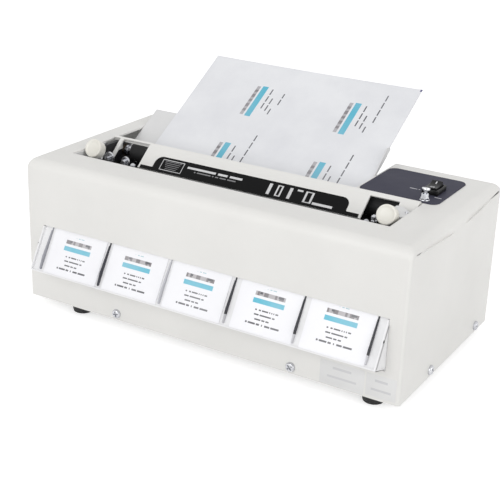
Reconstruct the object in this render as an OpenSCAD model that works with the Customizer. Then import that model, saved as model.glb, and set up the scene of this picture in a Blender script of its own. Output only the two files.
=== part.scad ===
// Electric business card cutter: a sheet slides down behind the hood, is slit
// and cross cut, and the cards land in five lanes of the chute at the front.
// X runs across the machine, Y from front to back, Z up. Angles are in degrees.

/* [Housing] */
// Width of the sheet-metal housing
body_w = 350; // [350:1:356]
// Depth of the housing
body_d = 180; // [180:1:184]
// Height of the housing without its feet
body_h = 124; // [124:1:126]
// Thickness of the housing's sheet metal
wall = 1.5; // [1.2:0.1:1.6]
// Radius of the bend between front and top
front_bend_r = 9; // [6:1:10]
// Radius of the other top edges
top_bend_r = 7; // [5:1:8]
// Radius of the upright edges
upright_r = 2.5; // [2.5:0.5:4]
// Height of the rubber feet
foot_h = 8; // [6:1:10]
// Diameter of a rubber foot
foot_d = 20; // [16:1:24]

/* [Paper path] */
// Slope of the sheet in the throat
sheet_slope = 31; // [29:1:33]
// Width of the sheet
sheet_w = 210; // [190:1:210]
// Length of the sheet
sheet_l = 148; // [120:1:148]
// Thickness of the sheet and of the cards
paper_t = 0.4; // [0.3:0.05:0.4]
// Radius of the feed rollers
feed_r = 8.3; // [8.2:0.05:8.3]
// Radius of the slitting discs
disc_r = 8; // [7.9:0.05:8]
// Radius that the cross-cut blade's edge runs on
cut_r = 8; // [7.6:0.1:8]

/* [Cards and chute] */
// Number of lanes
lanes = 5; // [5]
// Width of a card
card_w = 54; // [50:1:55]
// Length of a card
card_l = 89; // [80:1:90]
// Distance from lane to lane
lane_pitch = 60.4; // [60:0.1:60.5]
// Slope of the chute
chute_slope = 60; // [58:1:62]
// How far the chute's lip stands out of the front
chute_reach = 17; // [14:1:18]

/* [Controls] */
// Width of the control panel
panel_w = 68; // [60:1:68]
// Depth of the control panel
panel_d = 66; // [60:1:66]
// Swing of the rocker switch from its middle to either side
rocker_swing = 9; // [6:1:12]
// Diameter of the thumb knobs
knob_d = 16; // [14:1:17]
// How far a knob's axis leans back from upright
knob_lean = 65; // [60:1:68]

/* [Hidden] */
$fn = 48;

// Levels of the housing, from the table up
deck_z = foot_h + body_h;
floor_z = foot_h + wall;
front_y = -body_d / 2;
rear_y = body_d / 2;

// Top opening: a wide front part for the hood, and a throat that is open to the rear
open_x0 = -152;
open_x1 = 142;
throat_x1 = 83;
open_y0 = -57;
throat_y0 = 3;
throat_z0 = 106;

// Window for the chute in the front
window_x0 = -158;
window_x1 = 162;
window_z0 = 33.5;
window_z1 = 76;
lip_z = 42;
lip_h = 1.8;

// Side frames that carry every shaft
frame_t = 3;
frame_x0 = -148;
frame_x1 = 134;
unit_x = (frame_x0 + frame_x1 + frame_t) / 2;

// Sheet: where its middle plane crosses the level of the deck, and its right edge
sheet_y = 44;
sheet_x1 = 81.5;
feed_s = 37;
sheet_end_s = 44.4;

// Bed: an arc from the feed rollers to the cross cutter
bed_r = 134.5;
disc_a = 32;
cut_a = 54;
nip_gap = 1;
disc_overlap = 0.8;
shaft_r = 4;
fit_gap = 0.05;

// Positions along the path, as [y, z, slope]
feed_p = [sheet_y - feed_s * cos(sheet_slope), deck_z - feed_s * sin(sheet_slope), sheet_slope];
function bed_slope(a) = sheet_slope - a / bed_r * 180 / PI;
function bed_p(a) = [
    feed_p[0] - bed_r * (sin(sheet_slope) - sin(bed_slope(a))),
    feed_p[1] - bed_r * (cos(bed_slope(a)) - cos(sheet_slope)),
    bed_slope(a)];
function off_path(p, h) = [p[0] - h * sin(p[2]), p[1] + h * cos(p[2])];

// Shaft centres, as [y, z]
upper_feed_c = off_path(feed_p, feed_r + nip_gap / 2);
lower_feed_c = off_path(feed_p, -feed_r - nip_gap / 2);
upper_disc_c = off_path(bed_p(disc_a), disc_r - disc_overlap / 2);
lower_disc_c = off_path(bed_p(disc_a), -disc_r + disc_overlap / 2);
cutter_c = off_path(bed_p(cut_a), cut_r + paper_t);

// Gears: planes along X, tooth counts, and pitch radii from the shaft distances
gear_t = 5;
gear_a_x = 143.5;
gear_b_x = 150.5;
gear_c_x = 157.5;
pair_feed_n = 16;
pair_disc_n = 15;
train_n = 20;
idler_n = 16;
cutter_n = 34;
step_n = 14;
wheel_n = 44;
pinion_n = 12;
function dist(p, q) = norm(p - q);
function dir(p, q) = atan2(q[1] - p[1], q[0] - p[0]);
pair_feed_r = dist(upper_feed_c, lower_feed_c) / 2;
pair_disc_r = dist(upper_disc_c, lower_disc_c) / 2;
cutter_m = 2 * dist(lower_disc_c, cutter_c) / (train_n + cutter_n);
train_r = cutter_m * train_n / 2;
idler_r = cutter_m * idler_n / 2;
step_r = cutter_m * step_n / 2;
wheel_r = 22;
pinion_r = wheel_r * pinion_n / wheel_n;
// The idler sits below the middle of the line between the lower shafts
half_span = dist(lower_feed_c, lower_disc_c) / 2;
idler_drop = sqrt(pow(train_r + idler_r, 2) - half_span * half_span);
span_dir = dir(lower_disc_c, lower_feed_c);
idler_c = (lower_feed_c + lower_disc_c) / 2 + idler_drop * [sin(span_dir), -cos(span_dir)];
wheel_dir = -40;
motor_dir = -60;
wheel_c = lower_feed_c + (train_r + step_r) * [cos(wheel_dir), sin(wheel_dir)];
motor_c = wheel_c + (wheel_r + pinion_r) * [cos(motor_dir), sin(motor_dir)];

// Turn of a gear that meshes with another: tooth on one side, gap on the other
function mesh(n1, turn1, n2, way) =
    way + 180 - 360 / n2 * (0.5 - (way - turn1) * n1 / 360);
turn_lf_a = 0;
turn_uf_a = mesh(pair_feed_n, turn_lf_a, pair_feed_n, dir(lower_feed_c, upper_feed_c));
turn_lf_b = 0;
turn_idler = mesh(train_n, turn_lf_b, idler_n, dir(lower_feed_c, idler_c));
turn_ld_b = mesh(idler_n, turn_idler, train_n, dir(idler_c, lower_disc_c));
turn_cutter = mesh(train_n, turn_ld_b, cutter_n, dir(lower_disc_c, cutter_c));
turn_ld_a = 0;
turn_ud_a = mesh(pair_disc_n, turn_ld_a, pair_disc_n, dir(lower_disc_c, upper_disc_c));
turn_step = mesh(train_n, turn_lf_b, step_n, wheel_dir);
turn_wheel = 0;
turn_pinion = mesh(wheel_n, turn_wheel, pinion_n, motor_dir);

// Chute plane through the lip
lip_y = front_y - chute_reach;
chute_top_z = 90;
function chute_y(z) = lip_y + (z - lip_z) / tan(chute_slope);
lane_x0 = 2.35 - lanes / 2 * lane_pitch;
// How far each card lies from the middle of its lane
card_dx = [0, 0, -0.6, 2.3, 2.3];

// Hood: rear ridge, front edge of its top band, and slope and length of its face
ridge = [3, deck_z + 2.6];
band = [-2.5, deck_z + 0.2];
face_slope = 40;
face_l = 22.5;
face_end = band - face_l * [cos(face_slope), sin(face_slope)];
hood_t = 1.5;
hood_x0 = -151.5;
hood_x1 = 141;
// Windows in the hood, as [left, right, rear edge]; the face is open left of its first strip
hood_windows = [[-152, -143.6, -0.2], [-140.2, -112, -0.2], [100.5, 126, -2.8]];

// Thumb knobs at the two ends of the hood, leaning towards the front
knob_x = [-142.6, 131.6];
knob_h = 9;
knob_face = [-42, 134.5];
knob_n = [-sin(knob_lean), cos(knob_lean)];
knob_base = knob_face - knob_h * knob_n;

// The frame's origin is under the middle of the whole object's box
rear_reach = sheet_y + (sheet_l - sheet_end_s) * cos(sheet_slope) + paper_t / 2 * sin(sheet_slope);
front_reach = -lip_y + (lip_h + 0.2) * sin(chute_slope) + 1.2 * cos(chute_slope);
origin_y = (rear_reach - front_reach) / 2;

// Draws in the machine's own place, then moves it over the origin
module place() translate([0, -origin_y, 0]) children();

// Extrudes an outline in [y, z] from one X to another
module along_x(x0, x1) translate([x0, 0, 0]) rotate([90, 0, 90]) linear_extrude(x1 - x0) children();

// A round bar along X
module bar(x0, x1, c, r) translate([x0, c[0], c[1]]) rotate([0, 90, 0]) cylinder(h = x1 - x0, r = r);

// Rectangle with rounded upper corners, from [x0, y0] to [x1, y1]
module arch(x0, y0, x1, y1, r0, r1) {
    translate([x0, y0]) square([x1 - x0, y1 - y0 - max(r0, r1)]);
    translate([x0 + r0, y0]) square([x1 - x0 - r0 - r1, y1 - y0]);
    translate([x0, y0]) square([r0 + 0.01, y1 - y0 - r0]);
    translate([x1 - r1 - 0.01, y0]) square([r1 + 0.01, y1 - y0 - r1]);
    translate([x0 + r0, y1 - r0]) circle(r0);
    translate([x1 - r1, y1 - r1]) circle(r1);
}

// Rectangle with four rounded corners about the origin, from its half sizes
module round_rect(x, y, r) hull() for (u = [-1, 1], v = [-1, 1]) translate([u * (x - r), v * (y - r)]) circle(r);

// A body with a bent top: rounded seen from the side, from the front and from above
module bent_box(inset, z0) {
    intersection() {
        along_x(-body_w / 2 + inset, body_w / 2 - inset)
            arch(front_y + inset, z0, rear_y - inset, deck_z - inset,
                front_bend_r - inset, top_bend_r - inset);
        translate([0, rear_y - inset, 0]) rotate([90, 0, 0]) linear_extrude(body_d - 2 * inset)
            arch(-body_w / 2 + inset, z0, body_w / 2 - inset, deck_z - inset,
                top_bend_r - inset, top_bend_r - inset);
        linear_extrude(deck_z + 1)
            round_rect(body_w / 2 - inset, body_d / 2 - inset, max(upright_r - inset, 0.2));
    }
}

// A pan-head screw with a cross slot; its axis points along +Z
module pan_screw(d) {
    difference() {
        union() {
            cylinder(h = 0.3 * d, r1 = d / 2, r2 = 0.36 * d);
            translate([0, 0, -4]) cylinder(h = 4.1, r = 0.25 * d);
        }
        for (a = [0, 90])
            rotate(a) translate([-0.28 * d, -0.05 * d, 0.14 * d]) cube([0.56 * d, 0.1 * d, 0.3 * d]);
    }
}

screw_d = 8;
front_screw_x = [-82, 84];
side_screw_y = [-33, 62];
screw_z = foot_h + 6;

module housing() {
    color([0.91, 0.905, 0.895]) difference() {
        bent_box(0, foot_h);
        bent_box(wall, foot_h - 1);
        // opening for the hood, then the throat through the rear wall
        translate([open_x0, open_y0, deck_z - 12]) cube([open_x1 - open_x0, throat_y0 - open_y0 + 1, 20]);
        translate([open_x0, throat_y0, throat_z0])
            cube([throat_x1 - open_x0, rear_y - throat_y0 + 5, deck_z]);
        // window for the chute
        translate([window_x0, front_y - 5, window_z0])
            cube([window_x1 - window_x0, 12, window_z1 - window_z0]);
        // cut-outs for the switches and the power inlet
        translate([0, 0, deck_z - 5]) switch_holes();
        translate([inlet_x - 13.8, rear_y - 5, inlet_z - 9.8]) cube([27.6, 10, 19.6]);
        // screw holes
        for (x = front_screw_x) translate([x, front_y - 5, screw_z]) rotate([-90, 0, 0]) cylinder(h = 10, r = 2.1);
        for (x = front_screw_x) translate([x, rear_y - 5, screw_z]) rotate([-90, 0, 0]) cylinder(h = 10, r = 2.1);
        for (s = [-1, 1], y = side_screw_y)
            translate([s * (body_w / 2 - 5), y, screw_z]) rotate([0, s * 90, 0]) cylinder(h = 10, r = 2.1);
    }
}

pan_gap = 0.3;
pan_up = 14;
foot_x = [-128, 149];
foot_y = 77;

// Bottom pan: its upturned edge takes the housing's screws
module base_plate() {
    x = body_w / 2 - wall - pan_gap;
    y = body_d / 2 - wall - pan_gap;
    color([0.72, 0.73, 0.74]) difference() {
        translate([-x, -y, foot_h]) cube([2 * x, 2 * y, pan_up]);
        translate([-x + wall, -y + wall, floor_z]) cube([2 * (x - wall), 2 * (y - wall), pan_up]);
        for (u = foot_x, v = [-1, 1]) translate([u, v * foot_y, foot_h - 1]) cylinder(h = 5, r = 2);
        for (a = front_screw_x, s = [-1, 1])
            translate([a, s * y, screw_z]) rotate([90, 0, 0]) cylinder(h = 10, r = 2.1, center = true);
        for (s = [-1, 1], b = side_screw_y)
            translate([s * x, b, screw_z]) rotate([0, 90, 0]) cylinder(h = 10, r = 2.1, center = true);
    }
}

// Four rubber feet, each with a stem through the pan
module rubber_feet() {
    color([0.06, 0.06, 0.06])
        for (u = foot_x, v = [-1, 1]) translate([u, v * foot_y, 0]) {
            cylinder(h = foot_h, r1 = foot_d / 2 - 1.5, r2 = foot_d / 2);
            cylinder(h = foot_h + wall + 0.5, r = 2);
            translate([0, 0, floor_z]) cylinder(h = 2, r = 3.2);
        }
}

module housing_screws() {
    color([0.8, 0.8, 0.82]) {
        for (x = front_screw_x) {
            translate([x, front_y, screw_z]) rotate([90, 0, 0]) pan_screw(screw_d);
            translate([x, rear_y, screw_z]) rotate([-90, 0, 0]) pan_screw(screw_d);
        }
        for (s = [-1, 1], y = side_screw_y)
            translate([s * body_w / 2, y, screw_z]) rotate([0, s * 90, 0]) pan_screw(screw_d);
    }
}

// ---- frames ----
frame_base = [
    [-52, 113], [-57, 104], [-57, 60], [-58, floor_z], [78, floor_z], [78, 92]];
frame_front_right = [
    [14.8, 129.2], [0.5, 129.2], [-12.5, 114.2], [-18, 114], [-24, 115.2], [-31, 119.4], [-40, 119.6]];
// The left one stands up beside the hood's open end
frame_front_left = [
    [14.8, 129.2], [-0.9, 129.2], [-0.9, 131], [-18.1, 131], [-27, 121.4], [-29.5, 119.4], [-40, 119.6]];
function below_support(s) = on_sheet(s, -under - support_t - 0.02);
function frame_rear_left() = [[50, 112], below_support(5), below_support(26.5), [19.8, 114.5], [14.8, 116]];
// The right one stays below the switches; its ear carries the paper support
frame_rear_right = [
    [52, 106.5], [24.6, 106.5], [24.6, 121.5], [19.6, 121.5], [19.6, 117], [14.8, 117]];
rod_c = [[-48, 80], [60, 30], [66, 84]];
rod_r = 4;
bush_r = 5.5;
shaft_centres = [upper_feed_c, lower_feed_c, upper_disc_c, lower_disc_c, cutter_c];

module side_frame(x) {
    color([0.66, 0.67, 0.69]) {
        difference() {
            along_x(x, x + frame_t)
                polygon(x > 0 ? concat(frame_front_right, frame_base, frame_rear_right)
                    : concat(frame_front_left, frame_base, frame_rear_left()));
            for (c = shaft_centres) bar(x - 1, x + frame_t + 1, c, bush_r);
            for (c = rod_c) bar(x - 1, x + frame_t + 1, c, 2.2);
            if (x > 0) {
                bar(x - 1, x + frame_t + 1, motor_c, 8);
                for (c = [idler_c, wheel_c]) bar(x - 1, x + frame_t + 1, c, 2);
            }
            along_x(x - 1, x + frame_t + 1) polygon([[-30, 25], [15, 25], [15, 62], [-30, 62]]);
        }
    }
}

module left_side_frame() {
    side_frame(frame_x0);
    // foot flange on the pan
    color([0.66, 0.67, 0.69]) translate([frame_x0 - 12, -50, floor_z]) cube([12, 105, 2]);
}

module right_side_frame() {
    side_frame(frame_x1);
    color([0.66, 0.67, 0.69]) translate([frame_x1 + frame_t, -50, floor_z]) cube([12, 105, 2]);
}

// Adjusting nuts and studs on a flat bar in front of the hood
nut_x = [-135.6, -118.4];
nut_c = [-28, 124];
nut_size = [4.8, 3.8];
stud_x = [-105.2, 113.3, 119.6];
stud_y = -35.4;
stud_top = [126, 124.4, 129.4];
cross_bar = [[-38.5, 115.4], [-27, 115.4], [-27, 117.4], [-38.5, 117.4]];

module tie_rods() {
    color([0.75, 0.76, 0.78]) {
        for (c = rod_c) bar(frame_x0 + frame_t, frame_x1, c, rod_r);
        along_x(frame_x0 + frame_t, frame_x1) polygon(cross_bar);
    }
}

// Cap screws that hold the tie rods, the nuts and studs of the flat bar, and the right bracket's screw
module frame_screws() {
    color([0.8, 0.8, 0.82]) {
        for (i = [0, 1]) translate([nut_x[i], nut_c[0], nut_c[1]]) {
            rotate([90, 0, 0]) cylinder(h = 2, r = nut_size[i], center = true);
            rotate([90, 0, 0]) cylinder(h = 4.4, r = 1.8);
            translate([-1.5, -1, cross_bar[2][1] - nut_c[1]]) cube([3, 2, 5]);
        }
        for (i = [0:2]) translate([stud_x[i], stud_y, cross_bar[2][1]]) {
            cylinder(h = stud_top[i] - cross_bar[2][1] - 1, r = 1.2);
            for (z = [stud_top[i] - 3:-3.4:cross_bar[2][1] + 1]) translate([0, 0, z - cross_bar[2][1]])
                cylinder(h = 2, r = 2.2);
            translate([0, 0, stud_top[i] - cross_bar[2][1] - 1]) cylinder(h = 1, r1 = 2.2, r2 = 1.2);
        }
        translate([139.2, -20.4, plate_z + bracket_t]) cylinder(h = 0.9, r1 = 1.5, r2 = 1.2);
    }
    color([0.55, 0.56, 0.58]) for (c = rod_c) {
        bar(frame_x0 - 3, frame_x0, c, 3.6);
        bar(frame_x0 - 0.1, frame_x0 + frame_t, c, 2);
        bar(frame_x1, frame_x1 + frame_t + 0.1, c, 2);
        bar(frame_x1 + frame_t, frame_x1 + frame_t + 3, c, 3.6);
    }
}

// ---- hood ----
module hood_outline() {
    polygon([
        [ridge[0], 129.8], ridge, band, face_end,
        face_end + hood_t * [sin(face_slope), -cos(face_slope)],
        band + hood_t * [0.53, -0.86],
        [ridge[0] - hood_t, ridge[1] - hood_t * 1.15],
        [ridge[0] - hood_t, 129.8]]);
}

module hood() {
    color([0.93, 0.925, 0.915]) difference() {
        union() {
            along_x(hood_x0, hood_x1) hood_outline();
            // end cheeks against the inner faces of the side frames
            for (x = [frame_x0 + frame_t, frame_x1 - hood_t])
                along_x(x, x + hood_t)
                    polygon([[ridge[0], 129.8], ridge, band, band - 5 * [cos(face_slope), sin(face_slope)],
                        [-4, 123], [2, 123]]);
        }
        for (w = hood_windows)
            along_x(w[0], w[1])
                polygon([[w[2], deck_z + 5], [w[2], deck_z - 3.5], face_end + [4, -3], face_end + [-4, -3],
                    [face_end[0] - 4, deck_z + 5]]);
    }
}

label_x0 = -98;
label_x1 = 87;
label_t = 0.3;
label_foot = 3.4;

// Black plate on the hood's face, with a lower band that runs out to the end windows
module hood_label() {
    top = 7.1;
    r = 6.8;
    color([0.02, 0.02, 0.02])
        translate([0, band[0], band[1]]) rotate([face_slope, 0, 0]) rotate([0, 0, 180])
            translate([0, 0, 0.02]) linear_extrude(label_t) union() {
                translate([-label_x1 + r, top]) square([label_x1 - label_x0 - 2 * r, face_l - top]);
                translate([-label_x1, top + r]) square([label_x1 - label_x0, face_l - top - r]);
                translate([-label_x1 + r, top + r]) circle(r);
                translate([-label_x0 - r, top + r]) circle(r);
                translate([-hood_windows[2][0] + 2, face_l - label_foot])
                    square([hood_windows[2][0] - hood_windows[1][1] - 4, label_foot]);
            }
}

// ---- thumb knobs ----
bracket_t = 1.7;
stud_r = 1.7;

// Lug square to a knob's axis, and its cheek on the outer face of the side frame
stud_l = 3.4;
plate_z = 129.2;
module knob_bracket(x, x0, x1, cheek_x) {
    color([0.9, 0.9, 0.89]) difference() {
        union() {
            along_x(x0, x1) polygon([for (q = [[4, -0.2], [-7, -0.2], [-7, -2.2], [4, -2.2]])
                knob_base + q[0] * [cos(knob_lean), sin(knob_lean)] + q[1] * knob_n]);
            along_x(cheek_x, cheek_x + bracket_t)
                polygon([[-22, plate_z], [-33, plate_z], [-34.5, 118], [-33, 111], [-27.5, 111], [-26, 118]]);
            children();
        }
        translate([x, knob_base[0], knob_base[1]]) rotate([knob_lean, 0, 0])
            translate([0, 0, -stud_l]) cylinder(h = 20, r = stud_r + fit_gap);
    }
}

// The left one closes the opening's end with an upright plate
module knob_bracket_left() knob_bracket(knob_x[0], -151, -138, frame_x0 - bracket_t)
    along_x(open_x0 + 0.2, open_x0 + 1.2) polygon([[-56, 131.2], [-12, 131.2], [-24, 118], [-56, 116]]);

// The right one has a flat plate over the hood's end
module knob_bracket_right() knob_bracket(knob_x[1], 126, 138, frame_x1 + frame_t)
    translate([0, 0, plate_z]) linear_extrude(bracket_t)
        polygon([[126, -9], [132, -9], [140.9, -18], [140.9, -30], [138, -32], [126, -32]]);

// White knob with a shallow dish, a rim and a threaded stud
module knob(x) {
    color([0.95, 0.945, 0.93]) translate([x, knob_base[0], knob_base[1]]) rotate([knob_lean, 0, 0]) {
        difference() {
            union() {
                translate([0, 0, 0.1]) cylinder(h = knob_h - 1.1, r = knob_d / 2);
                translate([0, 0, knob_h - 1]) cylinder(h = 1, r1 = knob_d / 2, r2 = knob_d / 2 - 0.8);
            }
            translate([0, 0, knob_h - 0.6]) cylinder(h = 1, r = knob_d / 2 - 2);
        }
        translate([0, 0, -stud_l + 0.2]) cylinder(h = stud_l, r = stud_r);
    }
}
module knob_left() knob(knob_x[0]);
module knob_right() knob(knob_x[1]);

// ---- control panel ----
panel_x1 = 153;
panel_y0 = 4.6;
panel_t = 0.8;
panel_r = 7;
rocker_c = [138.75, 33.25];
rocker_box = [5.7, 8.6];
rocker_well = [4.9, 7.8];
rocker_pivot_z = deck_z + 2.8;
rocker_pin_r = 1;
toggle_c = [140.6, 10];
toggle_neck_r = 2.4;

// Cut-outs for the rocker's box and the toggle's neck
module switch_holes() {
    gap = 0.3;
    translate([rocker_c[0] - rocker_box[0] - gap, rocker_c[1] - rocker_box[1] - gap, 0])
        cube([2 * (rocker_box[0] + gap), 2 * (rocker_box[1] + gap), 10]);
    translate([toggle_c[0], toggle_c[1], 0]) cylinder(h = 10, r = toggle_neck_r + fit_gap);
}

module panel_outline() {
    x0 = panel_x1 - panel_w;
    translate([x0 + panel_r, panel_y0]) square([panel_w - 2 * panel_r, panel_d]);
    translate([x0, panel_y0 + panel_r]) square([panel_w, panel_d - 2 * panel_r]);
    for (x = [x0 + panel_r, panel_x1 - panel_r], y = [panel_y0 + panel_r, panel_y0 + panel_d - panel_r])
        translate([x, y]) circle(panel_r);
}

module control_panel() {
    color([0.27, 0.27, 0.32]) difference() {
        translate([0, 0, deck_z]) linear_extrude(panel_t) panel_outline();
        translate([0, 0, deck_z - 1]) switch_holes();
    }
}

// Rocker switch: tall bezel on the panel, box below the deck, and two terminals
module rocker_housing() {
    color([0.04, 0.04, 0.04]) translate([rocker_c[0], rocker_c[1], deck_z]) difference() {
        union() {
            translate([-6.75, -9.75, panel_t]) cube([13.5, 19.5, 4]);
            translate([-rocker_box[0], -rocker_box[1], -10]) cube([2 * rocker_box[0], 2 * rocker_box[1], 11]);
            for (y = [-5, 5]) translate([-2.4, y - 0.4, -16]) cube([4.8, 0.8, 7]);
        }
        translate([-rocker_well[0], -rocker_well[1], -4]) cube([2 * rocker_well[0], 2 * rocker_well[1], 12]);
        bar(-6, 6, [0, rocker_pivot_z - deck_z], rocker_pin_r + fit_gap);
    }
}

// Rocker: two sloping faces that meet in the middle, and its pivot pin
module rocker() {
    color([0.03, 0.03, 0.03]) {
        along_x(rocker_c[0] - 4.5, rocker_c[0] + 4.5)
            translate([rocker_c[1], rocker_pivot_z]) rotate(rocker_swing)
                polygon([[-7.1, 4.4], [-0.4, 3.2], [0.4, 3.2], [7.1, 4.4], [6.6, -1.6], [3, -3.4], [-3, -3.4], [-6.6, -1.6]]);
        bar(rocker_c[0] - 5.8, rocker_c[0] + 5.8, [rocker_c[1], rocker_pivot_z], rocker_pin_r);
    }
}

toggle_pivot_z = deck_z + 4;
toggle_tilt = 12;
toggle_pin_r = 0.6;
toggle_l = 6.6;

// Toggle switch: stout bush with a washer and a nut, and the small box below the deck
module toggle_body() {
    color([0.8, 0.8, 0.82]) translate([toggle_c[0], toggle_c[1], deck_z]) difference() {
        union() {
            translate([0, 0, -4]) cylinder(h = 5, r = toggle_neck_r);
            translate([0, 0, panel_t]) cylinder(h = 5.4, r = 2.8);
            translate([0, 0, panel_t]) cylinder(h = 0.5, r = 3.9);
            translate([0, 0, panel_t + 0.5]) cylinder(h = 1.4, r = 3.7, $fn = 6);
            translate([-2.4, -4, -7]) cube([4.8, 8, 5.4]);
        }
        translate([0, 0, 2]) cylinder(h = 4.3, r1 = 1.5, r2 = 2.2);
        bar(-2.4, 2.4, [0, toggle_pivot_z - deck_z], toggle_pin_r + fit_gap);
    }
}

// Lever that widens to a round cap
module toggle_lever() {
    color([0.86, 0.86, 0.88]) translate([toggle_c[0], toggle_c[1], toggle_pivot_z]) {
        rotate([-toggle_tilt, 0, 0]) {
            sphere(r = 1.2);
            cylinder(h = toggle_l - 2, r1 = 1.1, r2 = 1.5);
            translate([0, 0, toggle_l - 2.8]) cylinder(h = 1, r1 = 1.4, r2 = 3.3);
            translate([0, 0, toggle_l - 1.8]) cylinder(h = 1.4, r = 3.3);
            translate([0, 0, toggle_l - 0.4]) cylinder(h = 0.4, r1 = 3.3, r2 = 2.8);
        }
        bar(-2.3, 2.3, [0, 0], toggle_pin_r);
    }
}

// ---- chute, dividers and cards ----
chute_t = 1.2;
chute_x0 = window_x0 + 0.12;
chute_x1 = window_x1 - 0.12;
down = [cos(chute_slope), sin(chute_slope)];
out = [-sin(chute_slope), cos(chute_slope)];

module card_chute() {
    top = [chute_y(chute_top_z), chute_top_z];
    lip = [lip_y, lip_z];
    lip_end = lip - chute_t * out - 1.2 * down;
    wall_y = front_y + wall;
    color([0.94, 0.94, 0.95]) {
        along_x(chute_x0, chute_x1)
            polygon([top, lip, lip + lip_h * out, lip + (lip_h + 0.2) * out - 1.2 * down,
                lip_end, [front_y - 0.3, window_z0 + 2.2],
                [wall_y + 1.2, window_z0 + 1.2], [wall_y + 1.2, window_z0 + 2.4],
                [front_y + 0.4, window_z0 + 3.4], lip - chute_t * out + 0.8 * down, top - chute_t * out]);
        for (x = [chute_x0, chute_x1 - 1.2])
            along_x(x, x + 1.2)
                polygon([[chute_y(window_z1 - 2), window_z1 - 2] + 2.4 * out, lip + (lip_h + 0.2) * out - 1.2 * down,
                    lip_end, [front_y - 0.3, window_z0 + 2.2],
                    [wall_y + 1.2, window_z0 + 1.2], [wall_y + 1.2, window_z1 - 0.8]]);
        // flange behind the front wall
        along_x(chute_x0, chute_x1)
            polygon([[wall_y, 24], [wall_y + 1.2, 24], [wall_y + 1.2, window_z0 + 2], [wall_y, window_z0 + 2]]);
    }
}

// Small rivet heads on the chute's flanges, and one on the front beside it
module chute_rivets() {
    color([0.12, 0.12, 0.13]) {
        bar(chute_x0 - 0.5, chute_x0, [-97, 60.5], 1.2);
        bar(chute_x1, chute_x1 + 0.5, [-97, 60.5], 1.2);
        translate([window_x0 - 6, front_y, 58]) rotate([90, 0, 0]) cylinder(h = 0.8, r = 1.2);
    }
}

divider_t = 1.2;
wall_gap = 0.4;
function on_chute(y, h) = [y, lip_z + (y - lip_y + h * sin(chute_slope)) * tan(chute_slope) + h * cos(chute_slope)];
function above_lip(along, h) = [lip_y, lip_z] + along * down + h * out;

// A thin fin between two lanes, notched where it passes the front wall, with a round nose
module lane_divider(i) {
    x = lane_x0 + i * lane_pitch;
    head = [chute_y(chute_top_z - 1), chute_top_z - 1];
    before = front_y - wall_gap;
    behind = front_y + wall + wall_gap;
    color([0.2, 0.2, 0.22])
        along_x(x - divider_t / 2, x + divider_t / 2) {
            polygon([above_lip(2.4, 0), above_lip(2.4, 2.15), above_lip(12, 3.2), on_chute(before, 1.4),
                on_chute(before, 0.55), on_chute(behind, 0.55), on_chute(behind, 2), head + 2 * out, head]);
            translate(above_lip(2.5, 1.1)) circle(r = 1.08);
        }
}
module lane_divider_1() lane_divider(0);
module lane_divider_2() lane_divider(1);
module lane_divider_3() lane_divider(2);
module lane_divider_4() lane_divider(3);
module lane_divider_5() lane_divider(4);
module lane_divider_6() lane_divider(5);

// A card stands on the chute's lip
module card(i) {
    x = lane_x0 + (i + 0.5) * lane_pitch + card_dx[i];
    foot = above_lip(0.05, 0.1);
    color([0.98, 0.98, 0.99])
        along_x(x - card_w / 2, x + card_w / 2)
            polygon([foot, foot + card_l * down, foot + card_l * down + paper_t * out, foot + paper_t * out]);
}
module card_1() card(0);
module card_2() card(1);
module card_3() card(2);
module card_4() card(3);
module card_5() card(4);

// ---- sheet and paper guides ----
uphill = [cos(sheet_slope), sin(sheet_slope)];
sheet_up = [-sin(sheet_slope), cos(sheet_slope)];
function on_sheet(s, h = 0) = [sheet_y, deck_z] - s * uphill + h * sheet_up;

module sheet() {
    color([0.93, 0.93, 0.94])
        along_x(sheet_x1 - sheet_w, sheet_x1)
            polygon([on_sheet(sheet_end_s, -paper_t / 2), on_sheet(sheet_end_s - sheet_l, -paper_t / 2),
                on_sheet(sheet_end_s - sheet_l, paper_t / 2), on_sheet(sheet_end_s, paper_t / 2)]);
}

support_t = 1.2;
support_s = -24;
guide_s = -31;
guide_rise = 5.5;
under = paper_t / 2 + 0.05;

// Sloping plate under the sheet, with a low side guide that widens upwards at its right edge
module paper_support() {
    guide_x = sheet_x1 + 0.3;
    color([0.86, 0.86, 0.87]) {
        along_x(open_x0 + 0.4, guide_x + 0.9)
            polygon([on_sheet(27, -under), on_sheet(support_s, -under),
                on_sheet(support_s, -under - support_t), on_sheet(27, -under - support_t)]);
        along_x(guide_x, guide_x + 0.9)
            polygon([on_sheet(23, -under - 0.5), on_sheet(guide_s, -under - 0.5), on_sheet(guide_s, guide_rise - 3),
                on_sheet(guide_s + 5, guide_rise), on_sheet(0, 1.4), on_sheet(23, 1.4)]);
        // lower edge carries on to the ear of the right side frame, under the deck
        along_x(guide_x + 0.8, frame_x1)
            polygon([on_sheet(27, -under), on_sheet(23.3, -under),
                on_sheet(23.3, -under - support_t), on_sheet(27, -under - support_t)]);
    }
}

guide_t = 0.8;
guide_start = 3;
upper_guide_end = 44;
lower_guide_end = 51;
arc_n = 10;
function arc_side(a0, a1, h) = [for (i = [0:arc_n]) off_path(bed_p(a0 + (a1 - a0) * i / arc_n), h)];
module guide_arc(a0, a1, h0, h1) {
    polygon(concat(arc_side(a0, a1, h0), arc_side(a1, a0, h1)));
}

disc_t = 1.5;
disc_gap = 0.3;
roller_x = [for (i = [0:4]) unit_x - 112 + 56 * i];
roller_l = 34;
disc_x = [for (i = [0:5]) unit_x - 125 + 50 * i];

// Curved plate under the strips, with slots for the rollers and the discs
module lower_guide() {
    color([0.7, 0.71, 0.73]) difference() {
        along_x(frame_x0 + frame_t, frame_x1) guide_arc(guide_start, lower_guide_end, -0.8, -0.8 - guide_t);
        for (x = disc_x) bar(x - 5, x + 5, lower_disc_c, disc_r + 0.8);
        for (x = roller_x) bar(x - roller_l / 2 - 1, x + roller_l / 2 + 1, lower_feed_c, feed_r + 0.8);
    }
}

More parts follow.
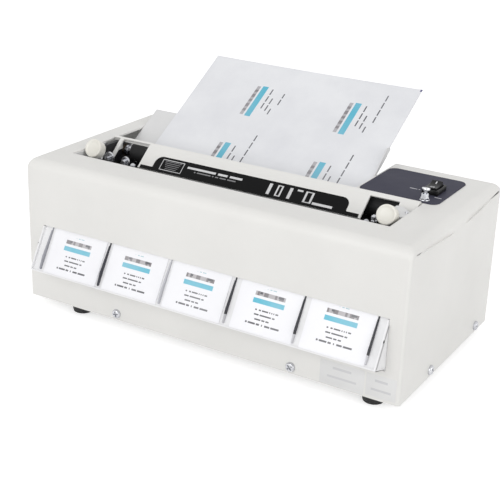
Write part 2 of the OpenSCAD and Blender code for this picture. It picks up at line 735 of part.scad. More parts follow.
module upper_guide() {
    color([0.7, 0.71, 0.73]) difference() {
        along_x(frame_x0 + frame_t, frame_x1) guide_arc(guide_start, upper_guide_end, 1.2, 1.2 + guide_t);
        for (x = disc_x) bar(x - 5, x + 5, upper_disc_c, disc_r + 0.8);
        for (x = roller_x) bar(x - roller_l / 2 - 1, x + roller_l / 2 + 1, upper_feed_c, feed_r + 0.8);
    }
}

// Fixed lower blade, just under the turning one
module bed_knife() {
    p = bed_p(cut_a);
    color([0.6, 0.61, 0.63])
        along_x(frame_x0 + frame_t, frame_x1)
            translate([p[0], p[1]]) rotate(p[2])
                polygon([[-3, -0.3], [0.5, -0.3], [0.5, -9], [-3, -9]]);
}

// Optical sensor in the throat, under the sheet's right part
module paper_sensor() {
    color([0.05, 0.05, 0.05])
        along_x(frame_x1 - 76, frame_x1 - 62)
            polygon([on_sheet(26, -under - support_t), on_sheet(18, -under - support_t),
                on_sheet(18, -under - support_t - 6), on_sheet(26, -under - support_t - 6)]);
}

// ---- bushes, shafts, rollers and discs ----
module bush_set(x) {
    color([0.72, 0.55, 0.25]) for (c = shaft_centres) difference() {
        union() {
            bar(x, x + frame_t, c, bush_r);
            bar(x > 0 ? x + frame_t : x - 1, x > 0 ? x + frame_t + 1 : x, c, bush_r + 1);
        }
        bar(x - 2, x + frame_t + 2, c, shaft_r + fit_gap);
    }
}
module bushes_left() bush_set(frame_x0);
module bushes_right() bush_set(frame_x1);

shaft_x0 = frame_x0 - 1.5;
collar_r = 5;

module shaft(c, x1) {
    color([0.78, 0.79, 0.8]) {
        bar(shaft_x0, x1, c, shaft_r);
        bar(frame_x0 + frame_t + 2, frame_x0 + frame_t + 4.5, c, collar_r);
        bar(frame_x1 - 4.5, frame_x1 - 2, c, collar_r);
    }
}

module upper_feed_shaft() shaft(upper_feed_c, gear_a_x + gear_t + 0.5);
module lower_feed_shaft() shaft(lower_feed_c, gear_b_x + gear_t + 0.5);
module upper_disc_shaft() shaft(upper_disc_c, gear_a_x + gear_t + 0.5);
module lower_disc_shaft() shaft(lower_disc_c, gear_b_x + gear_t + 0.5);
blade_x0 = frame_x0 + frame_t + 8;
blade_x1 = frame_x1 - 8;
blade_turn = 60;
blade_foot = 4.2;
blade_t = 2.4;

// The cutter shaft is thicker between its collars and has a slot for the blade
module cutter_shaft() {
    shaft(cutter_c, gear_b_x + gear_t + 0.5);
    color([0.7, 0.71, 0.73]) difference() {
        bar(frame_x0 + frame_t + 5, frame_x1 - 5, cutter_c, 5.4);
        along_x(blade_x0, blade_x1) translate(cutter_c) rotate(blade_turn)
            translate([blade_foot, -blade_t / 2]) square([6, blade_t]);
    }
}

module roller_set(c) {
    color([0.07, 0.07, 0.07]) for (x = roller_x) difference() {
        bar(x - roller_l / 2, x + roller_l / 2, c, feed_r);
        bar(x - roller_l, x + roller_l, c, shaft_r);
    }
}
module upper_feed_rollers() roller_set(upper_feed_c);
module lower_feed_rollers() roller_set(lower_feed_c);

// Slitting discs with their collars; upper and lower discs pass side by side
module disc_set(c, s) {
    color([0.62, 0.63, 0.66]) for (x = disc_x) difference() {
        union() {
            bar(s > 0 ? x + disc_gap / 2 : x - disc_gap / 2 - disc_t,
                s > 0 ? x + disc_gap / 2 + disc_t : x - disc_gap / 2, c, disc_r);
            bar(s > 0 ? x + disc_gap / 2 : x - disc_gap / 2 - 4,
                s > 0 ? x + disc_gap / 2 + 4 : x - disc_gap / 2, c, 5.2);
        }
        bar(x - 8, x + 8, c, shaft_r);
    }
}

// Blade bar let into the cutter shaft; at rest it points away from the path
module cutter_blade() {
    color([0.8, 0.81, 0.83])
        along_x(blade_x0, blade_x1)
            translate(cutter_c) rotate(blade_turn)
                polygon([[blade_foot, -blade_t / 2], [6, -blade_t / 2], [cut_r - 0.1, 0.3], [cut_r - 0.1, 0.6],
                    [6.4, blade_t / 2], [blade_foot, blade_t / 2]]);
}

// ---- gears ----
// Trapezoid teeth on a disc: n teeth on pitch radius r, turned by turn
module gear_outline(n, r, turn) {
    p = 360 / n;
    m = 2 * r / n;
    polygon([for (i = [0:n - 1]) each [
        for (q = [[-0.30, -1.15], [-0.115, 0.8], [0.115, 0.8], [0.30, -1.15]])
            let (a = turn + (i + q[0]) * p, k = r + q[1] * m) [k * cos(a), k * sin(a)]]]);
}

module gear(c, n, r, turn, x, bore) {
    difference() {
        along_x(x, x + gear_t) translate(c) gear_outline(n, r, turn);
        bar(x - 1, x + gear_t + 1, c, bore);
    }
}

module upper_feed_gear() color([0.88, 0.86, 0.8])
    gear(upper_feed_c, pair_feed_n, pair_feed_r, turn_uf_a, gear_a_x, shaft_r);
module lower_feed_gears() color([0.88, 0.86, 0.8]) {
    gear(lower_feed_c, pair_feed_n, pair_feed_r, turn_lf_a, gear_a_x, shaft_r);
    gear(lower_feed_c, train_n, train_r, turn_lf_b, gear_b_x, shaft_r);
}
module upper_discs() {
    disc_set(upper_disc_c, 1);
    color([0.88, 0.86, 0.8]) gear(upper_disc_c, pair_disc_n, pair_disc_r, turn_ud_a, gear_a_x, shaft_r);
}
module lower_discs() {
    disc_set(lower_disc_c, -1);
    color([0.88, 0.86, 0.8]) {
        gear(lower_disc_c, pair_disc_n, pair_disc_r, turn_ld_a, gear_a_x, shaft_r);
        gear(lower_disc_c, train_n, train_r, turn_ld_b, gear_b_x, shaft_r);
    }
}
module cutter_gear() color([0.88, 0.86, 0.8])
    gear(cutter_c, cutter_n, cutter_m * cutter_n / 2, turn_cutter, gear_b_x, shaft_r);

post_r = 2;
module gear_posts() {
    color([0.7, 0.71, 0.73]) {
        bar(frame_x1, gear_b_x + gear_t + 2.4, idler_c, post_r);
        bar(gear_b_x + gear_t + 0.9, gear_b_x + gear_t + 2.4, idler_c, post_r + 1.2);
        bar(frame_x1, gear_c_x + gear_t + 2.4, wheel_c, post_r);
        bar(gear_c_x + gear_t + 0.9, gear_c_x + gear_t + 2.4, wheel_c, post_r + 1.2);
    }
}
module idler_gear() color([0.88, 0.86, 0.8])
    gear(idler_c, idler_n, idler_r, turn_idler, gear_b_x, post_r + fit_gap);
// The big wheel and the small gear behind it are one moulding
module reduction_gear() color([0.88, 0.86, 0.8]) difference() {
    union() {
        gear(wheel_c, step_n, step_r, turn_step, gear_b_x, post_r + fit_gap);
        bar(gear_b_x + gear_t - 1, gear_c_x + 1, wheel_c, 4.5);
        gear(wheel_c, wheel_n, wheel_r, turn_wheel, gear_c_x, post_r + fit_gap);
    }
    bar(gear_b_x - 1, gear_c_x + gear_t + 1, wheel_c, post_r + fit_gap);
}

motor_r = 20;
motor_l = 58;
motor_shaft_r = 2.5;

// Motor can, its front flange on the right side frame, and its end cap
module motor() {
    color([0.5, 0.51, 0.53]) difference() {
        union() {
            bar(frame_x1 - motor_l, frame_x1 - 3, motor_c, motor_r);
            bar(frame_x1 - 3, frame_x1, motor_c, motor_r + 1);
            bar(frame_x1, frame_x1 + 2, motor_c, 7.5);
            bar(frame_x1 - motor_l - 5, frame_x1 - motor_l, motor_c, 9);
        }
        bar(frame_x1 - 12, frame_x1 + 5, motor_c, motor_shaft_r + fit_gap);
    }
}

module motor_pinion() {
    color([0.75, 0.76, 0.78]) bar(frame_x1 - 10, gear_c_x + gear_t + 1, motor_c, motor_shaft_r);
    color([0.72, 0.55, 0.25]) gear(motor_c, pinion_n, pinion_r, turn_pinion, gear_c_x, motor_shaft_r);
}

// ---- electrics ----
board_x0 = -60;
inlet_x = 110;
inlet_z = 40;

// Circuit board on four spacers, with a relay, a capacitor and a connector
module circuit_board() {
    translate([board_x0, 10, floor_z]) {
        color([0.1, 0.35, 0.2]) translate([0, 0, 8]) cube([80, 55, 1.6]);
        color([0.8, 0.8, 0.8]) for (x = [5, 75], y = [5, 50]) translate([x, y, 0]) cylinder(h = 8.1, r = 2.5);
        color([0.1, 0.2, 0.5]) translate([10, 12, 9.5]) cube([19, 15, 15]);
        color([0.1, 0.1, 0.1]) translate([45, 28, 9.5]) cylinder(h = 20, r = 6);
        color([0.9, 0.9, 0.85]) translate([60, 8, 9.5]) cube([8, 24, 8]);
    }
}

// Three-pin power inlet in the rear wall
module power_inlet() {
    color([0.05, 0.05, 0.05]) translate([inlet_x, rear_y, inlet_z]) difference() {
        union() {
            translate([-13.5, -20, -9.5]) cube([27, 20.5, 19]);
            translate([-16, 0, -12]) cube([32, 2, 24]);
        }
        translate([-12, -14, -8]) cube([24, 20, 16]);
    }
    color([0.75, 0.75, 0.7]) for (p = [[-7, -2], [0, 2], [7, -2]])
        translate([inlet_x + p[0] - 1, rear_y - 15, inlet_z + p[1] - 2]) cube([2, 12, 4]);
}

place() housing();
place() base_plate();
place() rubber_feet();
place() housing_screws();
place() chute_rivets();
place() left_side_frame();
place() right_side_frame();
place() tie_rods();
place() frame_screws();
place() hood();
place() hood_label();
place() knob_bracket_left();
place() knob_bracket_right();
place() knob_left();
place() knob_right();
place() control_panel();
place() rocker_housing();
place() rocker();
place() toggle_body();
place() toggle_lever();
place() card_chute();
place() lane_divider_1();
place() lane_divider_2();
place() lane_divider_3();
place() lane_divider_4();
place() lane_divider_5();
place() lane_divider_6();
place() card_1();
place() card_2();
place() card_3();
place() card_4();
place() card_5();
place() sheet();
place() paper_support();
place() upper_guide();
place() lower_guide();
place() bed_knife();
place() paper_sensor();
place() bushes_left();
place() bushes_right();
place() gear_posts();
place() upper_feed_shaft();
place() upper_feed_rollers();
place() upper_feed_gear();
place() lower_feed_shaft();
place() lower_feed_rollers();
place() lower_feed_gears();
place() upper_disc_shaft();
place() upper_discs();
place() lower_disc_shaft();
place() lower_discs();
place() cutter_shaft();
place() cutter_blade();
place() cutter_gear();
place() idler_gear();
place() reduction_gear();
place() motor();
place() motor_pinion();
place() circuit_board();
place() power_inlet();
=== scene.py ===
import math

import bmesh
import bpy
import numpy as np
from mathutils import Matrix, Vector


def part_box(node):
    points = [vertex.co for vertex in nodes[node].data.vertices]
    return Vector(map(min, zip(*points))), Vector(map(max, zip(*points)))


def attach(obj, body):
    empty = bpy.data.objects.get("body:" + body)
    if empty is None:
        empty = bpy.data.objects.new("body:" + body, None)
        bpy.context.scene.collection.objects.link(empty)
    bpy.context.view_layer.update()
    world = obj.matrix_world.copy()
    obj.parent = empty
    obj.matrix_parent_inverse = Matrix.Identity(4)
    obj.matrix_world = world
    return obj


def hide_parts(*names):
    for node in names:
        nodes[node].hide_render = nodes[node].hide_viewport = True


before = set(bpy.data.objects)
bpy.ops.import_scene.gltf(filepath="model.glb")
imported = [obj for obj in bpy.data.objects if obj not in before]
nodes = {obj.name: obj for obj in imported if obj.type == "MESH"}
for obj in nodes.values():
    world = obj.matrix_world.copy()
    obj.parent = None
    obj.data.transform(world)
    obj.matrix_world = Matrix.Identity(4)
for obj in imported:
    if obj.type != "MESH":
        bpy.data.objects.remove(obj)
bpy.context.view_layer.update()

# The machine is drawn in its own millimetres: x across, y from the front (-90) to the rear (90), z up from the table
mm = 0.001
housingLow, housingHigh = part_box("housing")
shiftY = (housingLow[1] + housingHigh[1]) / 2 / mm

machine = dict(halfWidth=175.0, frontY=-90.0, rearY=90.0, deckZ=132.0, footZ=8.0)
halfWidth, frontY, rearY, deckZ, footZ = machine.values()
sheetSlope, chuteSlope, faceSlope = (math.radians(angle) for angle in (31, 60, 40))


# Mesh helpers

def columns(*parts):
    return np.stack(parts, -1)


def within(value, low, high):
    return (value > low) & (value < high)


def slopeAxes(angle):
    # Unit [y, z] directions up a slope and square to it
    return np.array([math.cos(angle), math.sin(angle)]), np.array([-math.sin(angle), math.cos(angle)])


def toFrame(points):
    # Own millimetres to metres in the row frame: shift along y, then scale
    return (np.asarray(points, float).reshape(-1, 3) + (0, shiftY, 0)) * mm


def gridFaces(rows, cols, closeCols=False, keep=None):
    # Quads between neighbouring points of a rows x cols grid; keep is a mask of the cells that stay
    i, j = np.meshgrid(np.arange(rows - 1), np.arange(cols - (not closeCols)), indexing="ij")
    i2, j2 = i + 1, (j + 1) % cols
    quads = columns(i * cols + j, i * cols + j2, i2 * cols + j2, i2 * cols + j)
    return quads[keep] if keep is not None else quads.reshape(-1, 4)


def buildMesh(name, parts):
    # Joins (points, faces) pairs into one mesh, merges doubles and turns the normals outwards
    verts, faces, offset = [], [], 0
    for points, quads in parts:
        verts.append(toFrame(points))
        faces += [[int(k) + offset for k in f] for f in quads]
        offset += len(verts[-1])
    mesh = bpy.data.meshes.new(name)
    mesh.from_pydata(np.concatenate(verts).tolist(), [], faces)
    bm = bmesh.new()
    bm.from_mesh(mesh)
    bmesh.ops.remove_doubles(bm, verts=bm.verts, dist=1e-6)
    bmesh.ops.dissolve_degenerate(bm, dist=1e-7, edges=bm.edges)
    bmesh.ops.recalc_face_normals(bm, faces=bm.faces)
    bm.to_mesh(mesh)
    bm.free()
    return mesh


def setAll(item, settings):
    for key, value in settings.items():
        setattr(item, key, value)


def linkObject(name, data):
    obj = bpy.data.objects.new(name, data)
    bpy.context.scene.collection.objects.link(obj)
    return obj


def addPiece(name, parts, material, replaces=(), body="machine", angle=35, solid=0, bevel=0, segments=2,
             bevelAngle=40):
    # One object at the origin with its place in its mesh, its finish and its body
    mesh = buildMesh(name, parts)
    obj = linkObject(name, mesh)
    mesh.materials.append(material)
    mesh.shade_smooth()
    mesh.set_sharp_from_angle(angle=math.radians(angle))
    if solid:
        setAll(obj.modifiers.new("wall", "SOLIDIFY"), dict(thickness=abs(solid) * mm, offset=-1 if solid > 0 else 0))
    if bevel:
        setAll(obj.modifiers.new("softEdge", "BEVEL"),
               dict(width=bevel * mm, segments=segments, limit_method="ANGLE", angle_limit=math.radians(bevelAngle),
                    harden_normals=True))
    if solid or bevel:
        obj.modifiers.new("flatFaces", "WEIGHTED_NORMAL").keep_sharp = True
    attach(obj, body)
    if replaces:
        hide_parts(*replaces)


def fillet(corners, radii, steps=6):
    # Walks an open line of corners and turns each inner corner into an arc tangent to both its sides
    corners = np.asarray(corners, float)
    line = [corners[0]]
    for k in range(1, len(corners) - 1):
        radius = radii[k]
        a, b = corners[k - 1] - corners[k], corners[k + 1] - corners[k]
        a, b = a / np.linalg.norm(a), b / np.linalg.norm(b)
        half = math.acos(float(np.clip(a @ b, -1, 1))) / 2
        if radius <= 0 or half > 1.55:
            line.append(corners[k])
            continue
        reach = radius / math.tan(half)
        centre = corners[k] + (a + b) / np.linalg.norm(a + b) * radius / math.sin(half)
        start, end = corners[k] + a * reach - centre, corners[k] + b * reach - centre
        turn = math.atan2(start[0] * end[1] - start[1] * end[0], start @ end)
        t = np.linspace(0, turn, steps + 1)[:, None]
        side = np.array([-start[1], start[0]])
        line += list(centre + start * np.cos(t) + side * np.sin(t))
    line.append(corners[-1])
    return np.array(line)


def roundedLoop(halfX, halfY, radius, perCorner=6):
    # Closed rounded rectangle: four quarter circles, one about each inset corner
    t = np.linspace(0, math.pi / 2, perCorner + 1)
    parts = []
    for k, (sx, sy) in enumerate([(1, 1), (-1, 1), (-1, -1), (1, -1)]):
        a = t + k * math.pi / 2
        parts.append(columns(sx * (halfX - radius) + radius * np.cos(a), sy * (halfY - radius) + radius * np.sin(a)))
    return np.concatenate(parts)


def loopStack(loops, heights, place, caps=True):
    # Closed loops of [a, b] points carried through heights, joined by quads, with flat caps; place gives x, y, z
    loops = [np.asarray(loop, float) for loop in loops]
    count = len(loops[0])
    points = np.concatenate([place(loop[:, 0], loop[:, 1], np.full(count, h)) for loop, h in zip(loops, heights)])
    faces = gridFaces(len(loops), count, closeCols=True).tolist()
    if caps:
        faces += [list(range(count))[::-1], list(range((len(loops) - 1) * count, len(loops) * count))]
    return points, faces


def alongX(outline, x0, x1):
    # A closed outline of [y, z] points carried from x0 to x1, with flat ends
    return loopStack([outline, outline], [x0, x1], lambda a, b, h: columns(h, a, b))


def acrossX(line, xs):
    # The same open [y, z] line at each x
    return np.array([np.column_stack([np.full(len(line), x), line]) for x in xs])


def lathe(profile, origin, axis, around=40):
    # Turns [radius, height] points about an axis: origin + height*axis + radius*(cos t*side + sin t*up)
    axis = np.array(axis, float) / np.linalg.norm(axis)
    side = np.cross(axis, (0, 0, 1) if abs(axis[2]) < 0.9 else (1, 0, 0))
    side /= np.linalg.norm(side)
    up = np.cross(axis, side)
    profile = np.asarray(profile, float)
    t = np.linspace(0, 2 * math.pi, around, endpoint=False)[None, :, None]
    r, h = profile[:, 0][:, None, None], profile[:, 1][:, None, None]
    points = np.asarray(origin, float) + h * axis + r * (np.cos(t) * side + np.sin(t) * up)
    return points.reshape(-1, 3), gridFaces(len(profile), around, closeCols=True).tolist()


def crossPin(radius, half, centre, around):
    # A plain round pin along x
    return lathe([(0, -half), (radius, -half), (radius, half), (0, half)], centre, (1, 0, 0), around)


def onSlope(start, slope):
    # Place function of a sloping plane through start [y, z]: a across, b up the slope, h square to it
    c, s = math.cos(slope), math.sin(slope)
    return lambda a, b, h: columns(a, start[0] + b * c - h * s, start[1] + b * s + h * c)


# Material helpers

def srgb(r, g, b):
    # 0-255 display values to scene-linear colour
    c = np.array([r, g, b]) / 255
    return tuple(np.where(c > 0.04045, ((c + 0.055) / 1.055) ** 2.4, c / 12.92)) + (1.0,)


def addNode(tree, kind, inputs=(), **settings):
    # A shader node with its settings, and its inputs filled by value or linked from another node's socket
    node = tree.nodes.new("ShaderNode" + kind)
    setAll(node, settings)
    for key, value in dict(inputs).items():
        if isinstance(value, bpy.types.NodeSocket):
            tree.links.new(value, node.inputs[key])
        else:
            node.inputs[key].default_value = value
    return node


def mathNode(tree, operation, a, b=0.0, c=0.0, clamp=False):
    return addNode(tree, "Math", {0: a, 1: b, 2: c}, operation=operation, use_clamp=clamp).outputs[0]


def mixColour(tree, fac, a, b):
    return addNode(tree, "Mix", {0: fac, 6: a, 7: b}, data_type="RGBA").outputs[2]


def noise(tree, vector, scale, detail, roughness=0.5):
    values = {"Vector": vector, "Scale": scale, "Detail": detail, "Roughness": roughness}
    return addNode(tree, "TexNoise", values).outputs["Fac"]


def ramp(tree, value, low, high):
    # 0 at low, 1 at high, straight in between
    return addNode(tree, "MapRange", {0: value, 1: low, 2: high}, clamp=True).outputs[0]


def useGroup(tree, group, **inputs):
    return addNode(tree, "Group", inputs, node_tree=group).outputs


def newGroup(name, values, *results):
    # An empty shader group that takes a vector and named values; returns its tree, its inputs and its outputs
    tree = bpy.data.node_groups.new(name, "ShaderNodeTree")
    tree.interface.new_socket(name="Vector", in_out="INPUT", socket_type="NodeSocketVector")
    for label, value in values.items():
        tree.interface.new_socket(name=label, in_out="INPUT", socket_type="NodeSocketFloat").default_value = value
    for label in results:
        tree.interface.new_socket(name=label, in_out="OUTPUT", socket_type="NodeSocketFloat")
    return tree, tree.nodes.new("NodeGroupInput").outputs, tree.nodes.new("NodeGroupOutput").inputs


def buildGrain():
    # Fine height of sprayed or moulded surfaces, and a slow blotch mask for smudges: two noises
    tree, given, out = newGroup("surfaceGrain", dict(Grain=900.0, Blotch=20.0), "Height", "Smudge")
    tree.links.new(noise(tree, given["Vector"], given["Grain"], 2.0), out["Height"])
    slow = noise(tree, given["Vector"], given["Blotch"], 4.0, 0.6)
    tree.links.new(ramp(tree, slow, 0.35, 0.7), out["Smudge"])
    return tree


def buildBrushed():
    # Grinding lines across the x axis: noise stretched in the other two directions
    tree, given, out = newGroup("brushedLines", dict(Lines=1500.0), "Height", "Streak")
    squeezed = addNode(tree, "Mapping", {"Vector": given["Vector"], "Scale": (1.0, 0.03, 0.03)}).outputs[0]
    tree.links.new(noise(tree, squeezed, given["Lines"], 3.0), out["Height"])
    tree.links.new(noise(tree, squeezed, 160.0, 2.0), out["Streak"])
    return tree


def buildEdgeRubAndSheen():
    # Mask of lightened edges, partly wear and partly a painted edge highlight: how far the normal of a softened edge
    # leans from the true normal, broken up by noise
    tree, given, out = newGroup("edgeRubAndSheen", dict(Amount=1.0), "Mask")
    soft = addNode(tree, "Bevel", {"Radius": 0.0007}, samples=4).outputs[0]
    true = addNode(tree, "NewGeometry").outputs["Normal"]
    lean = addNode(tree, "VectorMath", {0: soft, 1: true}, operation="DOT_PRODUCT").outputs["Value"]
    broken = ramp(tree, noise(tree, given["Vector"], 260.0, 3.0), 0.42, 0.62)
    edge = mathNode(tree, "MULTIPLY", ramp(tree, lean, 0.99, 0.8), broken)
    tree.links.new(mathNode(tree, "MULTIPLY", edge, given["Amount"], clamp=True), out["Mask"])
    return tree


def buildInkBox():
    # Soft-edged printed rectangle on the upper side: 1 inside half sizes about a centre, 0 outside
    tree, given, out = newGroup("inkBox", dict(X=0.0, Y=0.0, HalfX=1.0, HalfY=1.0), "Mask")
    xyz = addNode(tree, "SeparateXYZ", {0: given["Vector"]}).outputs
    sides = []
    for axis, centre, half in ((0, "X", "HalfX"), (1, "Y", "HalfY")):
        away = mathNode(tree, "ABSOLUTE", mathNode(tree, "SUBTRACT", xyz[axis], given[centre]))
        inside = mathNode(tree, "SUBTRACT", given[half], away)
        sides.append(mathNode(tree, "MULTIPLY_ADD", inside, 8.0, 0.5, clamp=True))
    both = mathNode(tree, "MULTIPLY", *sides)
    tree.links.new(mathNode(tree, "MULTIPLY", both, mathNode(tree, "GREATER_THAN", xyz[2], 0.0)), out["Mask"])
    return tree


def buildInkDashes():
    # A printed line broken into plain dashes: an ink box times a random pick of cells along it
    tree, given, out = newGroup("inkDashes", dict(X=0.0, Y=0.0, HalfX=1.0, HalfY=1.0, Pitch=1.0, Seed=0.0, Fill=0.7),
                                "Mask")
    box = useGroup(tree, inkBoxGroup, **{key: given[key] for key in ("Vector", "X", "Y", "HalfX", "HalfY")})[0]
    x = addNode(tree, "SeparateXYZ", {0: given["Vector"]}).outputs[0]
    cell = mathNode(tree, "FLOOR", mathNode(tree, "DIVIDE", x, given["Pitch"]))
    pick = addNode(tree, "TexWhiteNoise", {"W": mathNode(tree, "ADD", cell, given["Seed"])},
                   noise_dimensions="1D").outputs["Value"]
    picked = mathNode(tree, "LESS_THAN", pick, given["Fill"])
    tree.links.new(mathNode(tree, "MULTIPLY", box, picked), out["Mask"])
    return tree


grainGroup, brushedGroup, rubAndSheenGroup = buildGrain(), buildBrushed(), buildEdgeRubAndSheen()
inkBoxGroup = buildInkBox()
inkDashGroup = buildInkDashes()


def newMaterial(name, values):
    # Principled shader with plain values set on its own sockets
    material = bpy.data.materials.new(name)
    material.use_nodes = True
    shader = material.node_tree.nodes["Principled BSDF"]
    for key, value in values.items():
        shader.inputs[key].default_value = value
    return material, material.node_tree, shader


def baseMaterial(name, colour, roughness, metallic=0.0, coat=0.0, specular=0.5):
    # The plain values of a finish, and the piece's object coordinates
    material, tree, shader = newMaterial(name, {
        "Base Color": srgb(*colour), "Roughness": roughness, "Metallic": metallic, "Coat Weight": coat,
        "Coat Roughness": 0.15, "Specular IOR Level": specular})
    return material, tree, shader, addNode(tree, "TexCoord").outputs["Object"]


def finishSurface(tree, shader, place, colour, tint, roughness, spread=0.05, grain=900.0, blotch=20.0, bump=0.03,
                  rubAndSheen=None, printed=None):
    # Colour drifts towards tint with the smudge mask, roughness spreads about its value, fine grain goes to the bump.
    # A blotch of 0 means brushed lines, the edge values give the amount and colour of lightened edges (partly wear,
    # partly painted highlight), printed is a colour socket
    if blotch:
        height, smudge = useGroup(tree, grainGroup, Vector=place, Grain=grain, Blotch=blotch)
    else:
        height, smudge = useGroup(tree, brushedGroup, Vector=place, Lines=grain)
    share = mathNode(tree, "MULTIPLY", smudge, 0.25) if printed else smudge
    base = mixColour(tree, share, printed or srgb(*colour), srgb(*tint))
    # Lighter edges: partly wear, partly a painted highlight along every edge
    if rubAndSheen:
        base = mixColour(tree, useGroup(tree, rubAndSheenGroup, Vector=place, Amount=rubAndSheen[0])[0], base, srgb(*rubAndSheen[1:]))
    tree.links.new(base, shader.inputs["Base Color"])
    rough = addNode(tree, "MapRange", {0: smudge, 3: roughness - spread, 4: roughness + spread})
    tree.links.new(rough.outputs[0], shader.inputs["Roughness"])
    relief = addNode(tree, "Bump", {"Height": height, "Strength": bump, "Distance": 0.0004})
    tree.links.new(relief.outputs[0], shader.inputs["Normal"])


def surfaceMaterial(name, colour, tint, roughness, spread, grain, blotch, bump, rubAndSheen=None, **plain):
    material, tree, shader, place = baseMaterial(name, colour, roughness, **plain)
    finishSurface(tree, shader, place, colour, tint, roughness, spread, grain, blotch, bump, rubAndSheen)
    return material


metal = dict(metallic=1.0)
# Colour, smudge tint, roughness and its spread, grain, blotch, bump, and what else the finish has
finishes = {
    # The edge colours in these rows lighten the edges: partly wear, partly painted highlight
    "housingPaint": ((233, 232, 229), (228, 227, 224), 0.42, 0.05, 1400, 9, 0.05, dict(rubAndSheen=(0.35, 244, 244, 243))),
    "hoodPaint": ((238, 237, 234), (233, 232, 229), 0.4, 0.05, 1400, 14, 0.04, dict(rubAndSheen=(0.5, 250, 250, 249))),
    "chutePaint": ((240, 240, 241), (234, 234, 236), 0.38, 0.05, 1400, 16, 0.04, {}),
    # Support and bracket grey: painted shade, greyer than the white parts because these faces lie in shade
    "supportShadeGrey": ((226, 226, 226), (218, 218, 219), 0.42, 0.05, 1300, 18, 0.04, dict(rubAndSheen=(0.5, 240, 240, 240))),
    "knobPlastic": ((240, 238, 230), (233, 230, 220), 0.34, 0.06, 1800, 60, 0.02,
                    dict(coat=0.15, rubAndSheen=(0.5, 250, 249, 245))),
    "switchPlastic": ((10, 10, 11), (16, 16, 18), 0.36, 0.06, 2200, 70, 0.03,
                      dict(specular=0.2, rubAndSheen=(0.6, 60, 60, 64))),
    "chromePlate": ((226, 227, 230), (205, 206, 210), 0.1, 0.04, 1500, 90, 0.01, metal),
    "screwZinc": ((212, 213, 216), (178, 179, 184), 0.28, 0.08, 2600, 120, 0.05, metal),
    # Black rivet heads: painted shade of small holes
    "rivetShadeBlack": ((40, 40, 43), (58, 58, 62), 0.4, 0.08, 2600, 200, 0.05, {}),
    "footRubber": ((22, 22, 23), (34, 34, 35), 0.7, 0.1, 1600, 50, 0.2, {}),
    # Black frame finish: painted shade, so the inside of the machine shows dark through its openings
    "frameShadeBlack": ((26, 26, 28), (38, 38, 41), 0.5, 0.1, 1200, 30, 0.08, dict(metallic=0.3, rubAndSheen=(0.4, 90, 90, 94))),
    "rodSteel": ((190, 191, 195), (168, 169, 174), 0.34, 0.08, 1800, 0, 0.06, metal),
    "shaftSteel": ((205, 206, 209), (180, 181, 186), 0.24, 0.06, 2600, 0, 0.04, metal),
    "bladeSteel": ((196, 197, 202), (168, 169, 175), 0.3, 0.08, 2200, 0, 0.06, metal),
    "bushBronze": ((92, 78, 56), (64, 54, 40), 0.45, 0.1, 2200, 120, 0.2, metal),
    "rollerRubber": ((24, 24, 25), (40, 40, 41), 0.75, 0.1, 2400, 0, 0.3, {}),
    "gearNylon": ((226, 221, 206), (214, 208, 190), 0.45, 0.08, 1200, 60, 0.05, {}),
    "motorCan": ((150, 151, 155), (126, 127, 132), 0.36, 0.08, 1400, 0, 0.06, metal),
}
paint = {name: surfaceMaterial(name, *values, **extra) for name, (*values, extra) in finishes.items()}
print("surface finishes:", len(paint))


def printedMaterial(name, colour, tint, roughness, marks, start, slope, centre=0.0, grain=1200.0, bump=0.03, **plain):
    # Plain colour with flat printed marks on a sloping plane, in millimetres: x, y, half width, half height and ink,
    # and for dashes also their pitch, seed and fill
    material, tree, shader, place = baseMaterial(name, colour, roughness, **plain)
    origin = (centre * mm, (start[0] + shiftY) * mm, start[1] * mm)
    flat = addNode(tree, "Mapping", {"Vector": place, "Location": origin, "Rotation": (slope, 0, 0),
                                     "Scale": (mm, mm, mm)}, vector_type="TEXTURE").outputs[0]
    smudge = useGroup(tree, grainGroup, Vector=place, Grain=grain, Blotch=25.0)["Smudge"]
    base = mixColour(tree, smudge, srgb(*colour), srgb(*tint))
    for x, y, halfX, halfY, ink, *cells in marks:
        mask = useGroup(tree, inkDashGroup if cells else inkBoxGroup, Vector=flat, X=x, Y=y, HalfX=halfX, HalfY=halfY,
                        **dict(zip(("Pitch", "Seed", "Fill"), cells)))
        base = mixColour(tree, mask[0], base, srgb(*ink))
    finishSurface(tree, shader, place, colour, tint, roughness, grain=grain, bump=bump, printed=base)
    return material


# Housing
housing = dict(wall=1.5, frontBend=9.0, rearBend=7.0, sideBend=7.0, uprightBend=2.5, bendSteps=8, edge=0.35,
               window=(-158.0, 162.0, 33.5, 76.0), opening=(-152.0, 142.0, -57.0, 4.0), throatX=83.0, throatZ=106.0,
               rockerHole=(132.75, 144.75, 24.35, 42.15), toggleHole=(138.15, 143.05, 7.55, 12.45), middleZ=120.0,
               sideRows=4)


